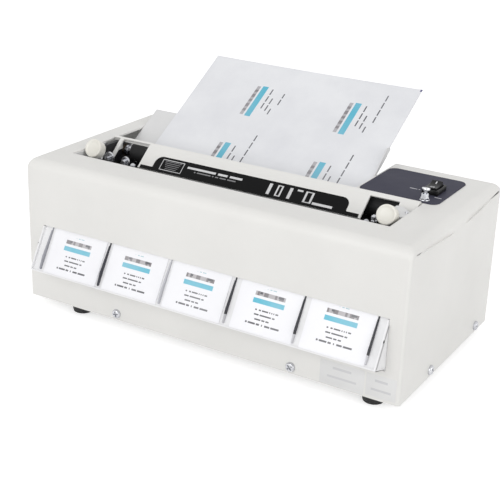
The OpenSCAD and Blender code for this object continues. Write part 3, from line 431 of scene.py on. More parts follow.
def makeHousing(s):
    # Section line (front wall, bend, deck, bend, rear wall) swept across x. Towards each end the line moves inwards
    # along its normal by r - r*cos(phi) while x grows by r*sin(phi), and the flat side then runs to the middle
    window, opening, rockerHole, toggleHole = s["window"], s["opening"], s["rockerHole"], s["toggleHole"]
    arc = np.linspace(0, math.pi / 2, s["bendSteps"] + 1)
    bend = lambda y, r, inwards: columns(y + inwards * r * (1 - np.sin(arc)), deckZ - r * (1 - np.cos(arc)))
    levels = np.array([footZ, *window[2:], s["throatZ"], s["middleZ"]])
    deckY = np.array(sorted({*opening[2:], *toggleHole[2:], *rockerHole[2:]}))
    wall, deck = np.ones(len(levels)), np.ones(len(deckY))
    line = np.concatenate([
        columns(frontY * wall, levels), bend(frontY, s["frontBend"], 1)[::-1], columns(deckY, deckZ * deck),
        bend(rearY, s["rearBend"], -1), columns(rearY * wall, levels[::-1])])
    bendN = columns(-np.sin(arc[::-1]), np.cos(arc[::-1]))
    normal = np.concatenate([
        columns(-wall, 0 * wall), bendN, columns(0 * deck, deck), bendN[::-1] * (-1, 1), columns(wall, 0 * wall)])
    share = (1 - np.cos(2 * arc)) / 2
    share = np.concatenate([0 * wall, share, deck, share[::-1], 0 * wall])
    radius = s["uprightBend"] + (s["sideBend"] - s["uprightBend"]) * share

    def endRows(sign):
        phi = arc[:, None]
        x = sign * (halfWidth - radius + radius * np.sin(phi))
        inset = radius * (1 - np.cos(phi))
        bent = np.concatenate([x[..., None], line[None] - inset[..., None] * normal[None]], -1)
        middle = columns(0 * radius + sign * halfWidth, 0 * radius, np.minimum(line[:, 1], s["middleZ"]))
        part = np.linspace(1 / s["sideRows"], 1, s["sideRows"])[:, None, None]
        return np.concatenate([bent, bent[-1][None] * (1 - part) + middle[None] * part])

    inner = sorted({*window[:2], *opening[:2], s["throatX"], *rockerHole[:2], *toggleHole[:2]})
    points = np.concatenate([endRows(-1.0)[::-1], acrossX(line, inner), endRows(1.0)])
    x = (points[:-1, :-1, 0] + points[1:, :-1, 0]) / 2
    y, z = ((line[:-1] + line[1:]) / 2).T[:, None]
    inHole = lambda hole: within(x, *hole[:2]) & within(y, *hole[2:])
    throat = within(x, opening[0], s["throatX"]) & (y > opening[2])
    cut = within(x, *window[:2]) & within(z, *window[2:]) & (y < frontY + 1)
    cut |= (z > s["throatZ"]) & (inHole(opening) | throat | inHole(rockerHole) | inHole(toggleHole))
    shell = (points.reshape(-1, 3), gridFaces(*points.shape[:2], keep=~cut))
    addPiece("housingShell", [shell], paint["housingPaint"], ["housing"], angle=50, solid=s["wall"],
             bevel=s["edge"], bevelAngle=55)


makeHousing(housing)
print("housing made")

# Hood with its end windows
hood = dict(x0=-151.5, x1=141.0, rearZ=129.8, ridge=(3.0, 134.6), band=(-2.5, 132.2), length=22.5, wall=1.5,
            ridgeBend=1.2, bandBend=1.4, windows=((-151.5, -143.6, -0.2), (-140.2, -112.0, -0.2), (100.5, 126.0, -2.8)),
            edge=0.25, cheeks=((-145.0, -143.5), (132.5, 134.0)), cheekLow=123.2)
faceDir = slopeAxes(faceSlope)[0]
ridge, band = np.array(hood["ridge"]), np.array(hood["band"])


def makeHood(s):
    # The bent line rear wall - ridge - band - face, carried across x, less the cells in front of each window's edge
    bent = fillet([(ridge[0], s["rearZ"]), ridge, band, band - s["length"] * faceDir],
                  [0, s["ridgeBend"], s["bandBend"], 0], 4)
    for cutY in sorted({w[2] for w in s["windows"]}, reverse=True):
        after = int(np.argmax((bent[:, 0] < cutY) & (np.arange(len(bent)) > 2)))
        share = (cutY - bent[after - 1, 0]) / (bent[after, 0] - bent[after - 1, 0])
        bent = np.insert(bent, after, bent[after - 1] * (1 - share) + bent[after] * share, axis=0)
    cuts = np.array(sorted({s["x0"], s["x1"], *(x for w in s["windows"] for x in w[:2])}))
    midX, midY = ((cuts[:-1] + cuts[1:]) / 2)[:, None], ((bent[:-1, 0] + bent[1:, 0]) / 2)[None]
    keep = ~np.any([within(midX, *w[:2]) & (midY < w[2]) for w in s["windows"]], axis=0)
    cover = (acrossX(bent, cuts).reshape(-1, 3), gridFaces(len(cuts), len(bent), keep=keep))
    addPiece("hoodCover", [cover], paint["hoodPaint"], ["hood"], angle=30, solid=s["wall"],
             bevel=s["edge"], bevelAngle=50)
    start, low = (ridge[0] - 1.6, s["rearZ"]), s["cheekLow"]
    cheek = fillet([start, ridge - (1.6, 1.4), band - (0.6, 1.9), band - 5 * faceDir + (0.9, -1.0), (-4.0, low),
                    (1.8, low), start], [0, 0.6, 0.6, 1.0, 1.0, 1.0, 0], 3)[:-1]
    addPiece("hoodCheeks", [alongX(cheek, *pair) for pair in s["cheeks"]], paint["hoodPaint"], bevel=0.2)


makeHood(hood)

plate = dict(x0=-98.0, x1=87.0, top=7.1, corner=6.8, foot=19.1, thick=0.3, lift=0.02, edge=0.08, wing=(-110.0, 98.5))


def makePlate(s):
    # Label film on the hood's face: a plate with two round upper corners over a low band that runs out to the windows
    (wing0, wing1), end, foot, top = s["wing"], -hood["length"], -s["foot"], -s["top"]
    line = fillet([(wing0, end), (wing0, foot), (s["x0"], foot), (s["x0"], top), (s["x1"], top), (s["x1"], foot),
                   (wing1, foot), (wing1, end)], [0, 0.3, 1.0, s["corner"], s["corner"], 1.0, 0.3, 0], 8)
    white, grey, black = (235, 235, 236), (150, 150, 152), (6, 6, 7)
    marks = [(-38, -12.3, 27, 1, white, 2.3, 3, 0.8), (-38, -15.5, 22, 0.55, grey, 1.5, 9, 0.7),
             (-80, -14.6, 11, 5.4, white), (-80, -14.6, 10.4, 4.8, black)]
    marks += [(-80, -10.8 - 1.8 * k, 8.4 - 0.7 * k, 0.3, grey) for k in range(5)]
    marks += [(x, -14.8, half, 5.2, white) for x, half in ((16, 1.4), (25, 2.6), (35, 1.4), (52, 3.8))]
    marks += [(x, -14.8, half, 4.4, black) for x, half in ((25, 1.2), (52, 2))]
    marks += [(43, -10.4, 2.6, 0.8, white), (66, -19.1, 9, 1.1, white)]
    film = printedMaterial("plateFilm", (8, 8, 9), (14, 14, 15), 0.22, marks, band, faceSlope, grain=900.0, bump=0.01,
                           specular=0.12)
    high = s["lift"] + s["thick"]
    body = loopStack([line] * 3, [s["lift"], high - s["edge"], high], onSlope(band, faceSlope))
    addPiece("hoodPlate", [body], film, ["hood_label"], bevel=0.06, segments=1)


makePlate(plate)
print("hood made")

# Thumb knobs and their brackets
knob = dict(xs=(-142.6, 131.6), face=(-42.0, 134.5), radius=8.0, height=9.0, lean=math.radians(65), rim=0.9, dish=0.55,
            studRadius=1.7, studEnd=-3.2)
knobUp, knobOut = slopeAxes(knob["lean"])
knobAxis = np.array([0.0, *knobOut])
knobBase = np.array([0.0, *knob["face"]]) - knob["height"] * knobAxis


def makeKnobs(s):
    # A turned button: chamfered foot, straight side, rounded rim and a shallow dished face, on a thin stud
    r, h, rim, dish, stud, end = s["radius"], s["height"], s["rim"], s["dish"], s["studRadius"], s["studEnd"]
    profile = [(0, end), (stud - 0.3, end), (stud, end + 0.3), (stud, 0.1), (r - 1.2, 0.1), (r - 0.5, 0.25),
               (r - 0.25, 1.4), (r, 2.0)]
    profile += [(r - rim + rim * math.cos(t), h - rim + rim * math.sin(t)) for t in np.linspace(0, math.pi / 2, 6)]
    profile += [(r - 1.5, h - 0.08), (r - 2.0, h - dish * 0.75), (r - 3.2, h - dish), (2.0, h - dish - 0.1),
                (0, h - dish - 0.12)]
    for x, side in zip(s["xs"], ("left", "right")):
        addPiece("knob" + side.title(), [lathe(profile, knobBase + (x, 0, 0), knobAxis, 64)], paint["knobPlastic"],
                 ["knob_" + side], "knob_" + side[0], angle=40)


bracket = dict(lugs=((-151.0, -138.0), (126.0, 138.0)), lug=((4, -0.2), (-7, -0.2), (-7, -2.2), (4, -2.2)),
               cheekXs=(-149.7, 137.0), sheet=1.7, plateZ=129.2,
               wallX=(-151.8, -150.8), wall=((-56, 131.2), (-12, 131.2), (-24, 118), (-56, 116)),
               cheek=((-22, 129.2), (-33, 129.2), (-34.5, 118), (-33, 111), (-27.5, 111), (-26, 118)),
               plate=((126, -9), (132, -9), (140.9, -18), (140.9, -30), (138, -32), (126, -32)))


def makeBrackets(s):
    # A lug square to the knob's axis (base + a*up + h*axis), a cheek on the side frame, and an upright or a flat plate
    lug = [knobBase[1:] + a * knobUp + h * knobOut for a, h in s["lug"]]
    ends = [alongX(s["wall"], *s["wallX"]),
            loopStack([s["plate"]] * 2, [s["plateZ"], s["plateZ"] + s["sheet"]], columns)]
    for side, lugX, cheekX, end in zip(("left", "right"), s["lugs"], s["cheekXs"], ends):
        parts = [alongX(lug, *lugX), alongX(s["cheek"], cheekX, cheekX + s["sheet"]), end]
        addPiece("bracket_" + side, parts, paint["supportShadeGrey"], ["knob_bracket_" + side], bevel=0.2)


makeKnobs(knob)
makeBrackets(bracket)

# Control panel and switches
panel = dict(centre=(119.0, 37.6), half=(34.0, 33.0), corner=7.0, thick=0.8, edge=0.25)


def makePanel(s):
    # A thin plate: one rounded loop carried up, with its upper rim drawn in
    (halfX, halfY), corner, edge, top = s["half"], s["corner"], s["edge"], deckZ + s["thick"]
    loop = roundedLoop(halfX, halfY, corner, 10) + s["centre"]
    inner = roundedLoop(halfX - edge, halfY - edge, corner - edge, 10) + s["centre"]
    body = loopStack([loop, loop, inner], [deckZ, top - edge, top], columns)
    white = (225, 225, 230)
    marks = [(122.5, 30.5, 3.2, 0.55, white, 0.9, 5, 0.8), (127.5, 30.5, 0.6, 0.6, white),
             (147.5, 20.5, 3, 0.5, white, 0.8, 2, 0.75)]
    film = printedMaterial("panelFilm", (60, 60, 74), (65, 65, 79), 0.6, marks, (0.0, 0.0), 0.0, grain=1500.0,
                           bump=0.08, specular=0.15)
    addPiece("panelPlate", [body], film, ["control_panel"], angle=30)


makePanel(panel)

rocker = dict(centre=(138.75, 33.25), bezel=(6.75, 9.75), corner=1.0, top=4.8, well=(4.9, 7.8), box=(5.7, 8.6),
              boxLow=-10.0, tab=(2.4, 0.4), tabYs=(-5, 5), tabZ=(-16, -9), keyHalf=4.5, pivotZ=134.8,
              tilt=math.radians(9), hollow=0.3, pin=(1.0, 5.8))


def makeRocker(s):
    # Bezel and box: rounded loops outside, over the rim and down the well. Key: a side line with two hollow faces
    (cx, cy), (bx, by), (wx, wy), top, pivotZ = s["centre"], s["bezel"], s["well"], s["top"], s["pivotZ"]
    loops = [(*s["box"], s["boxLow"]), (*s["box"], 0.8), (bx, by, 0.8), (bx, by, top - 0.7),
             (bx - 0.25, by - 0.25, top - 0.2), (bx - 0.7, by - 0.7, top), (wx + 0.5, wy + 0.5, top),
             (wx, wy, top - 0.5), (wx, wy, -4.0)]
    stack = [roundedLoop(hx, hy, s["corner"] if hx > 6 else 0.6) + (cx, cy) for hx, hy, _ in loops]
    parts = [loopStack(stack, [deckZ + z for *_, z in loops], columns)]
    parts += [loopStack([roundedLoop(*s["tab"], 0.1, 2) + (cx, cy + y)] * 2, [deckZ + z for z in s["tabZ"]], columns)
              for y in s["tabYs"]]
    addPiece("rockerFrame", parts, paint["switchPlastic"], ["rocker_housing"], angle=30)
    t = np.linspace(0, 1, 9)[:, None]
    rise = lambda a, b: np.array(a) * (1 - t) + np.array(b) * t - (0, s["hollow"]) * (4 * t * (1 - t))
    line = np.concatenate([rise((-6.8, 4.5), (-0.4, 3.3)), rise((0.4, 3.3), (6.8, 4.5)),
                           [(7.1, 4.0), (6.6, -1.6), (3, -3.4), (-3, -3.4), (-6.6, -1.6), (-7.1, 4.0)]])
    up, out = slopeAxes(s["tilt"])
    turned = line[:, :1] * up + line[:, 1:] * out + (cy, pivotZ)
    white, black = (232, 232, 235), (18, 18, 20)
    marks = [(0, 4.2, 0.45, 1.5, white), (0, -4, 1.6, 1.6, white), (0, -4, 1.05, 1.05, black)]
    film = printedMaterial("rockerKeyPlastic", (12, 12, 13), black, 0.32, marks, (cy, pivotZ), s["tilt"], centre=cx,
                           grain=2200.0, specular=0.25)
    parts = [alongX(turned, cx - s["keyHalf"], cx + s["keyHalf"]), crossPin(*s["pin"], (cx, cy, pivotZ), 24)]
    addPiece("rockerKey", parts, film, ["rocker"], "rocker", angle=25, bevel=0.3)


makeRocker(rocker)

toggle = dict(centre=(140.6, 10.0), pivotZ=136.0, tilt=math.radians(12), neck=2.4, bushRadius=2.8, washer=3.9, nut=3.7,
              threads=17, length=6.6, cap=3.3, pin=(0.6, 2.3))


def makeToggle(s):
    # Washer and threaded bush turned on a lathe, a six-sided nut with a turned chamfer, and the lever as a turned bat
    centre, neck, bushR, washer = s["centre"], s["neck"], s["bushRadius"], s["washer"]
    bush = [(0, -4), (neck, -4), (neck, 0.8), (washer - 0.15, 0.8), (washer, 0.95), (washer, 1.15),
            (washer - 0.15, 1.3), (bushR, 1.3)]
    bush += [(bushR - 0.2 * (k % 2), 1.8 + 0.25 * k) for k in range(s["threads"])]
    bush += [(2.6, 6.1), (2.35, 6.2), (2.15, 6.0), (1.5, 2.0), (0, 2.0)]
    t = np.linspace(0, 2 * math.pi, 48, endpoint=False)
    hexR = s["nut"] * math.cos(math.pi / 6) / np.cos((t % (math.pi / 3)) - math.pi / 6)
    circle = columns(np.cos(t), np.sin(t))
    ring = lambda scale: np.minimum(hexR, s["nut"] * scale)[:, None] * circle + centre
    bore = (bushR - 0.1) * circle + centre
    nut = loopStack([bore, ring(0.9), ring(1.0), ring(1.0), ring(0.9), bore],
                    [deckZ + z for z in (1.3, 1.3, 1.5, 2.5, 2.7, 2.7)], columns, caps=False)
    box = loopStack([roundedLoop(2.4, 4.0, 0.4, 3) + centre] * 2, [deckZ - 7, deckZ - 1.6], columns)
    addPiece("toggleBush", [lathe(bush, (*centre, deckZ), (0, 0, 1), 48), nut, box], paint["chromePlate"],
             ["toggle_body"], angle=30)
    cap, end = s["cap"], s["length"]
    lever = [(0, -1.2), (0.85, -0.85), (1.2, 0), (1.1, 0.6), (1.45, end - 3.0), (1.7, end - 2.6),
             (cap - 0.15, end - 1.85), (cap, end - 1.6), (cap, end - 0.45), (cap - 0.15, end - 0.15), (cap - 0.5, end),
             (cap - 1.0, end - 0.1), (cap - 1.3, end - 0.5), (0, end - 0.6)]
    pivot, lean = (*centre, s["pivotZ"]), (0, math.sin(s["tilt"]), math.cos(s["tilt"]))
    addPiece("toggleBat", [lathe(lever, pivot, lean, 40), crossPin(*s["pin"], pivot, 16)], paint["chromePlate"],
             ["toggle_lever"], "toggle", angle=40)


makeToggle(toggle)
print("knobs, panel and switches made")

# Chute, dividers and cards
lane = dict(pitch=60.4, firstX=-148.65, lip=(-107.0, 42.0))
up60, out60 = slopeAxes(chuteSlope)
lip = np.array(lane["lip"])


def chutePoint(z):
    # The chute's upper face at a given z
    return lip + up60 * (z - lip[1]) / up60[1]


chute = dict(x0=-157.88, x1=161.88, sheet=1.2, lipHeight=1.8, topZ=90.0, low=33.5, tailZ=24, flangeZ=74.0, edge=0.3)


def makeChute(s):
    # Side line of the tray (slope, lip, underside back to the front wall) carried across x, two flanges and a tail
    x0, x1, sheet, low, top = s["x0"], s["x1"], s["sheet"], s["low"], chutePoint(s["topZ"])
    wallY = frontY + housing["wall"]
    backY = wallY + sheet
    lipBack = [lip + (s["lipHeight"] + 0.2) * out60 - sheet * up60, lip - sheet * out60 - sheet * up60,
               (frontY - 0.3, low + 2.2), (backY, low + 1.2)]
    tray = [top, lip, lip + s["lipHeight"] * out60, *lipBack, (backY, low + 2.4), (frontY + 0.4, low + 3.4),
            lip - sheet * out60 + 0.8 * up60, top - sheet * out60]
    flange = [chutePoint(s["flangeZ"]) + 2.4 * out60, *lipBack, (backY, s["flangeZ"] + 1.2)]
    tail = [(wallY, s["tailZ"]), (backY, s["tailZ"]), (backY, low + 2), (wallY, low + 2)]
    parts = [alongX(tray, x0, x1), alongX(flange, x0, x0 + sheet), alongX(flange, x1 - sheet, x1),
             alongX(tail, x0, x1)]
    addPiece("chuteTray", parts, paint["chutePaint"], ["card_chute"], bevel=s["edge"])


makeChute(chute)

# The fin greys are painted light and shade, one grey for each gap between the cards
fin = dict(thick=1.2, start=2.5, nose=1.08, high=(12.0, 3.2), wallH=1.4, endH=2.0, notchH=0.55, gap=0.4, edge=0.2,
           shadedGreys=((150, 151, 158), (44, 45, 54), (188, 189, 194), (30, 31, 40), (30, 31, 40), (30, 31, 40)))


def onChute(y, h):
    # The point h above the chute at a given y
    return (y, lip[1] + (y - lip[0] - h * out60[0]) * math.tan(chuteSlope) + h * out60[1])


def makeFins(s):
    # Side line of a fin (round nose, highest near the lip, notched round the front wall) carried through its thickness
    head = chutePoint(chute["topZ"] - 1)
    before, behind = frontY - s["gap"], frontY + housing["wall"] + s["gap"]
    a = np.linspace(math.pi * 1.5, math.pi * 0.5, 10)[:, None]
    nose = lip + s["start"] * up60 + (s["nose"] + 0.02) * out60 + s["nose"] * (np.sin(a) * out60 + np.cos(a) * up60)
    line = np.concatenate([nose, [lip + s["high"][0] * up60 + s["high"][1] * out60, onChute(before, s["wallH"]),
                                  onChute(before, s["notchH"]), onChute(behind, s["notchH"]),
                                  onChute(behind, s["endH"]), head + s["endH"] * out60, head]])
    # Each fin's grey, and on fins 4 to 6 the pale patch near the nose, are painted light and shade: dark where the gap
    # between the cards is in shade, pale where its lit floor shows
    for k, shade in enumerate(s["shadedGreys"]):
        x = lane["firstX"] + k * lane["pitch"]
        tab, stripe = ((205, 205, 209), (16, 16, 20)) if k > 2 else (shade, shade)
        marks = [(0, 4.9, 2, 3.6, tab), (0, 9.6, 2, 0.8, stripe)]
        plastic = printedMaterial(f"finShadedPlastic_{k + 1}", shade, [v + 8 for v in shade], 0.4, marks, lip, chuteSlope,
                                  centre=x, grain=1600.0)
        addPiece(f"laneFin_{k + 1}", [alongX(line, x - s["thick"] / 2, x + s["thick"] / 2)], plastic,
                 [f"lane_divider_{k + 1}"], bevel=s["edge"])


makeFins(fin)

card = dict(width=54.0, length=89.0, thick=0.4, corner=0.3, shifts=(0.0, 0.0, 0.4, 1.2, 3.0),
            sideways=(0.0, 0.0, -0.6, 2.3, 2.3))


def makeCards(s):
    # Each card is a thin plate standing on the lip, printed with plain bars and dashes
    place = onSlope(lip + 0.05 * up60 + 0.1 * out60, chuteSlope)
    cyan, grey, dark = (88, 188, 212), (118, 112, 114), (70, 70, 76)
    for k, (shift, sideways) in enumerate(zip(s["shifts"], s["sideways"])):
        x = lane["firstX"] + (k + 0.5) * lane["pitch"] + sideways
        loop = roundedLoop(s["width"] / 2, s["length"] / 2, s["corner"], 2) + (x, s["length"] / 2)
        marks = [(0, 24, 13.5, 1.9, cyan), (0, 29.6, 13, 1.6, (178, 174, 176)),
                 (0, 29.6, 13, 1.6, grey, 1.9, 4 + k, 0.55), (0, 30.2, 13, 0.9, dark, 2.3, 8, 0.42),
                 (0, 34.2, 4, 0.35, (170, 205, 212), 0.9, 6, 0.75),
                 (0.5, 17.3, 10, 0.55, dark, 0.9, 11, 0.7), (-0.5, 13.7, 9, 0.55, dark, 0.9, 31, 0.7),
                 (-1.5, 10.1, 6.5, 0.55, dark, 0.9, 53, 0.7), (0, 6.5, 15, 0.7, dark, 0.9, 77, 0.78)]
        marks = [(across, up + shift, *rest) for across, up, *rest in marks]
        coated = printedMaterial(f"cardPaper_{k + 1}", (248, 248, 251), (245, 245, 249), 0.38, marks,
                                 lip + 0.3 * out60, chuteSlope, centre=x, grain=900.0, bump=0.02, coat=0.1)
        addPiece(f"cutCard_{k + 1}", [loopStack([loop, loop], [0, s["thick"]], place)], coated,
                 [f"card_{k + 1}"], "cut_cards")


makeCards(card)

rivets = dict(radius=1.2, rise=0.5, flangeAt=(-97, 60.5), wallRise=0.8, wallAt=(-164, 58))


def makeRivets(s):
    # Small domed heads: a quarter circle turned about the axis. Their black is painted shade of small holes
    r, arc = s["radius"], np.linspace(0, math.pi / 2, 6)
    dome = lambda rise: [(0, -0.3), (r, -0.3)] + [(r * math.cos(t), rise * math.sin(t)) for t in arc]
    ends = ((chute["x0"], -1), (chute["x1"], 1))
    parts = [lathe(dome(s["rise"]), (x, *s["flangeAt"]), (side, 0, 0), 24) for x, side in ends]
    x, z = s["wallAt"]
    parts.append(lathe(dome(s["wallRise"]), (x, frontY, z), (0, -1, 0), 24))
    addPiece("chuteRivets", parts, paint["rivetShadeBlack"], ["chute_rivets"])


makeRivets(rivets)
print("chute, fins and cards made")

# Sheet and its support
up31, out31 = slopeAxes(sheetSlope)
sheetPaper = dict(x0=-128.5, x1=81.5, startW=-44.4, endW=103.6, crossY=44.0, thick=0.4, bow=0.9, grid=(43, 31))


def makeSheet(s):
    # A grid over width and length. Above the throat it bows by bow*u^2 at the corners, and nowhere below it
    gx, gw = np.meshgrid(np.linspace(s["x0"], s["x1"], s["grid"][0]),
                         np.linspace(s["startW"], s["endW"], s["grid"][1]), indexing="ij")
    free = np.clip(gw / s["endW"], 0, 1)
    side = (gx - (s["x0"] + s["x1"]) / 2) / ((s["x1"] - s["x0"]) / 2)
    lift = s["bow"] * free ** 2 * (side ** 2 - 0.5)
    start = (s["crossY"], deckZ)
    points = onSlope(start, sheetSlope)(gx.ravel(), gw.ravel(), lift.ravel())
    cyan, grey, dark = (84, 184, 210), (128, 124, 128), (72, 72, 80)
    marks = []
    for left, middle in ((-69.0, 56.0), (-69.0, -17.5), (25.0, 56.0), (25.0, -17.5)):
        marks += [(left + 1.7, middle, 1.7, 18.5, (176, 174, 178)), (left + 8.2, middle, 2.9, 19.5, cyan)]
        marks += [(left + 1.7, middle + 12.4 - 6.2 * i, 1.7, 1.5 + 0.5 * (i % 2), grey) for i in range(5)]
        for at, half in ((16.5, 14.0), (21.5, 12.0), (26.0, 8.5), (30.0, 21.5)):
            marks += [(left + at, middle - 18 + half + 9 * k, 0.6, 3.6, dark) for k in range(int(half / 4.6))]
    # Dark violet patch at the top right corner: painted shade of a curled corner
    marks += [(81, 103, 1.2, 2.2, (62, 60, 120))]
    coated = printedMaterial("sheetPaper", (238, 239, 242), (229, 230, 234), 0.45, marks, start, sheetSlope,
                             grain=700.0, bump=0.03)
    addPiece("printSheet", [(points, gridFaces(*s["grid"]).tolist())], coated, ["sheet"], "sheet",
             solid=-s["thick"])


makeSheet(sheetPaper)

support = dict(x0=-151.6, guideX=81.8, guideT=0.9, under=0.25, sheet=1.2, backW=24.0, frontW=-27.0, lugW=-23.3,
               guideW=31.0, rise=5.5, frameX=134.0)


def makeSupport(s):
    # The sloping plate, the low side guide that widens upwards, and the lug to the right side frame
    at = lambda w, h: np.array([sheetPaper["crossY"], deckZ]) + w * up31 + h * out31
    top, low, front, far, rise = -s["under"], -s["under"] - s["sheet"], s["frontW"], s["guideW"], s["rise"]
    strip = lambda back: [at(front, top), at(back, top), at(back, low), at(front, low)]
    guide = fillet([at(-2, top - 0.5), at(-23, top - 0.5), at(-23, 1.4), at(0, 1.4), at(far - 5, rise),
                    at(far, rise - 3), at(far, top - 0.5), at(-2, top - 0.5)],
                   [0, 0.5, 0.5, 8, 1.5, 1.0, 0.3, 0], 4)[:-1]
    x0, x1 = s["guideX"], s["guideX"] + s["guideT"]
    parts = [alongX(strip(s["backW"]), s["x0"], x1), alongX(guide, x0, x1),
             alongX(strip(s["lugW"]), x0 + 0.8, s["frameX"])]
    # Its grey finish is painted shade
    addPiece("sheetGuide", parts, paint["supportShadeGrey"], ["paper_support"], bevel=0.25)


makeSupport(support)
print("sheet made")

# Feet, screws and bare stickers
feet = dict(xs=(-128.0, 149.0), ys=(-77.0, 77.0), radius=10.0, foot=8.5, height=8.0)


def makeFeet(s):
    # Tapered rubber button with a rounded sole, a ring groove and its stem
    r, foot, h = s["radius"], s["foot"], s["height"]
    profile = [(0, 0.4), (3.0, 0.4), (3.4, 0)]
    profile += [(foot - 1 + math.sin(t), 1 - math.cos(t)) for t in np.linspace(0, math.pi / 2, 5)]
    profile += [(foot + 0.9, 5.2), (foot + 0.6, 5.5), (foot + 1.1, 5.9), (r, h - 0.4), (r - 0.3, h), (2, h), (2, 9.5),
                (3.2, 9.5), (3.2, 11.2), (2.9, 11.5), (0, 11.5)]
    parts = [lathe(profile, (x, y, 0), (0, 0, 1), 48) for x in s["xs"] for y in s["ys"]]
    addPiece("footPads", parts, paint["footRubber"], ["rubber_feet"], angle=40)


makeFeet(feet)

screws = dict(radius=4.0, rise=2.4, flat=2.9, slotHalf=0.42, slotReach=2.3, slotDepth=1.3, grid=(20, 72), z=14.0,
              frontX=(-82.0, 84.0), sideY=(-33.0, 62.0), turns=(12, 40, 65, 20, 30, 5, 50, 75))


def screwHead(s, origin, axis, turn):
    # Polar grid of a pan head: an ellipse-edged dome, less a cross slot with sloping walls
    axis = np.array(axis, float)
    side = np.cross(axis, (0, 0, 1.0))
    up = np.cross(axis, side)
    rings, around = s["grid"]
    r = np.append(np.linspace(0, s["radius"], rings), s["radius"])[:, None]
    t = np.linspace(0, 2 * math.pi, around, endpoint=False)[None]
    edge = np.clip((r - s["flat"]) / (s["radius"] - s["flat"]), 0, 1)
    height = s["rise"] * np.sqrt(1 - 0.8 * edge ** 2) - 0.25 * (r / s["radius"]) ** 2 + 0 * t
    a, b = np.abs(r * np.cos(t)), np.abs(r * np.sin(t))
    wall = lambda half, value, width: np.clip((half - value) / width + 0.5, 0, 1)
    bar = lambda p, q: wall(s["slotHalf"], p, 0.16) * wall(s["slotReach"], q, 0.5)
    height = height - s["slotDepth"] * np.maximum(bar(a, b), bar(b, a))
    height[-1] = -0.2
    turn = math.radians(turn)
    x, y = r * np.cos(t + turn), r * np.sin(t + turn)
    points = np.asarray(origin, float) + x[..., None] * side + y[..., None] * up + height[..., None] * axis
    return points.reshape(-1, 3), gridFaces(rings + 1, around, closeCols=True).tolist()


def makeScrews(s):
    # Pan heads on the front, the rear and both sides, each turned its own way
    spots = [((x, y, s["z"]), (0, side, 0)) for y, side in ((frontY, -1), (rearY, 1)) for x in s["frontX"]]
    spots += [((side * halfWidth, y, s["z"]), (side, 0, 0)) for side in (-1, 1) for y in s["sideY"]]
    parts = [screwHead(s, *spot, turn) for spot, turn in zip(spots, s["turns"])]
    addPiece("coverScrews", parts, paint["screwZinc"], ["housing_screws"], angle=40)


makeScrews(screws)

stickers = dict(plates=((109.0, 146.0, 9.0, 29.0), (147.5, 172.0, 10.5, 29.0)), corner=0.8, thick=0.12)


def makeStickers(s):
    # Two bare films on the front wall: rounded loops with a drawn-in rim
    toFront = lambda a, b, h: columns(a, frontY - h, b)
    ink = (204, 204, 206)
    for k, (x0, x1, z0, z1) in enumerate(s["plates"]):
        centre, halfX, halfZ = ((x0 + x1) / 2, (z0 + z1) / 2), (x1 - x0) / 2, (z1 - z0) / 2
        loop = roundedLoop(halfX, halfZ, s["corner"], 4) + centre
        inner = roundedLoop(halfX - 0.06, halfZ - 0.06, s["corner"], 4) + centre
        body = loopStack([loop, loop, inner], [0.0, s["thick"] - 0.05, s["thick"]], toFront)
        marks = [(0, halfZ - 5, halfX * 0.42, 1, ink), (0, halfZ - 12.5, halfX * 0.66, 0.9, ink)]
        film = printedMaterial(f"stickerFilm_{k + 1}", (226, 226, 225), (221, 221, 221), 0.42, marks,
                               (frontY, centre[1]), math.pi / 2, centre=centre[0], grain=900.0)
        addPiece(f"frontSticker_{k + 1}", [body], film)


makeStickers(stickers)
print("feet, screws and stickers made")

# Finishes of the CAD nodes that stay
kept = {
    "housingPaint": ["base_plate"],
    # Side frames and guides in black are painted shade of the machine's inside
    "frameShadeBlack": ["left_side_frame", "right_side_frame", "upper_guide", "lower_guide"],
    "rodSteel": ["tie_rods"],
    "screwZinc": ["frame_screws", "gear_posts"],
    "shaftSteel": ["upper_feed_shaft", "lower_feed_shaft", "upper_disc_shaft", "lower_disc_shaft", "cutter_shaft"],
    "bladeSteel": ["bed_knife", "cutter_blade", "upper_discs", "lower_discs"],
    "bushBronze": ["bushes_left", "bushes_right"],
    "rollerRubber": ["upper_feed_rollers", "lower_feed_rollers"],
    "gearNylon": ["upper_feed_gear", "lower_feed_gears", "cutter_gear", "idler_gear", "reduction_gear"],
    "motorCan": ["motor", "motor_pinion"],
    "switchPlastic": ["paper_sensor", "power_inlet"],
}


def boardMaterial():
    # Green board with paler tracks, and its parts dark where they stand above it
    green, partsZ = (24, 92, 56), 0.0193
    material, tree, shader, place = baseMaterial("boardGreen", green, 0.4, coat=0.2)
    tracks = addNode(tree, "TexBrick", {"Vector": place, "Scale": 130.0, "Color1": srgb(*green),
                                        "Color2": srgb(30, 104, 62), "Mortar": srgb(70, 140, 84),
                                        "Mortar Size": 0.02}).outputs["Color"]
    z = addNode(tree, "SeparateXYZ", {0: place}).outputs[2]
    base = mixColour(tree, mathNode(tree, "GREATER_THAN", z, partsZ), tracks, srgb(38, 40, 48))
    finishSurface(tree, shader, place, green, (20, 70, 44), 0.4, printed=base)
    return material


def dress(names, material):
    for name in names:
        for slotItem in nodes[name].material_slots:
            slotItem.material = material


for finish, names in kept.items():
    dress(names, paint[finish])
dress(["circuit_board"], boardMaterial())
print("kept nodes dressed:", sum(len(n) for n in kept.values()) + 1)

# Floor, light and camera
studio = dict(floorSize=6.0, floorGrey=0.82, worldLight=0.68, floorGlow=0.55, target=(0, 0, 0.1),
              lamps=(("keyLamp", (-0.1, -1.9, 0.9), 1.4, 13), ("sideLamp", (1.8, -0.2, 0.8), 1.2, 7)))


def shownRays(tree):
    # 1 for rays from the camera, from mirrors and through glass
    path = addNode(tree, "LightPath").outputs
    direct = mathNode(tree, "MAXIMUM", path["Is Camera Ray"], path["Is Glossy Ray"])
    return mathNode(tree, "MAXIMUM", direct, path["Is Transmission Ray"])


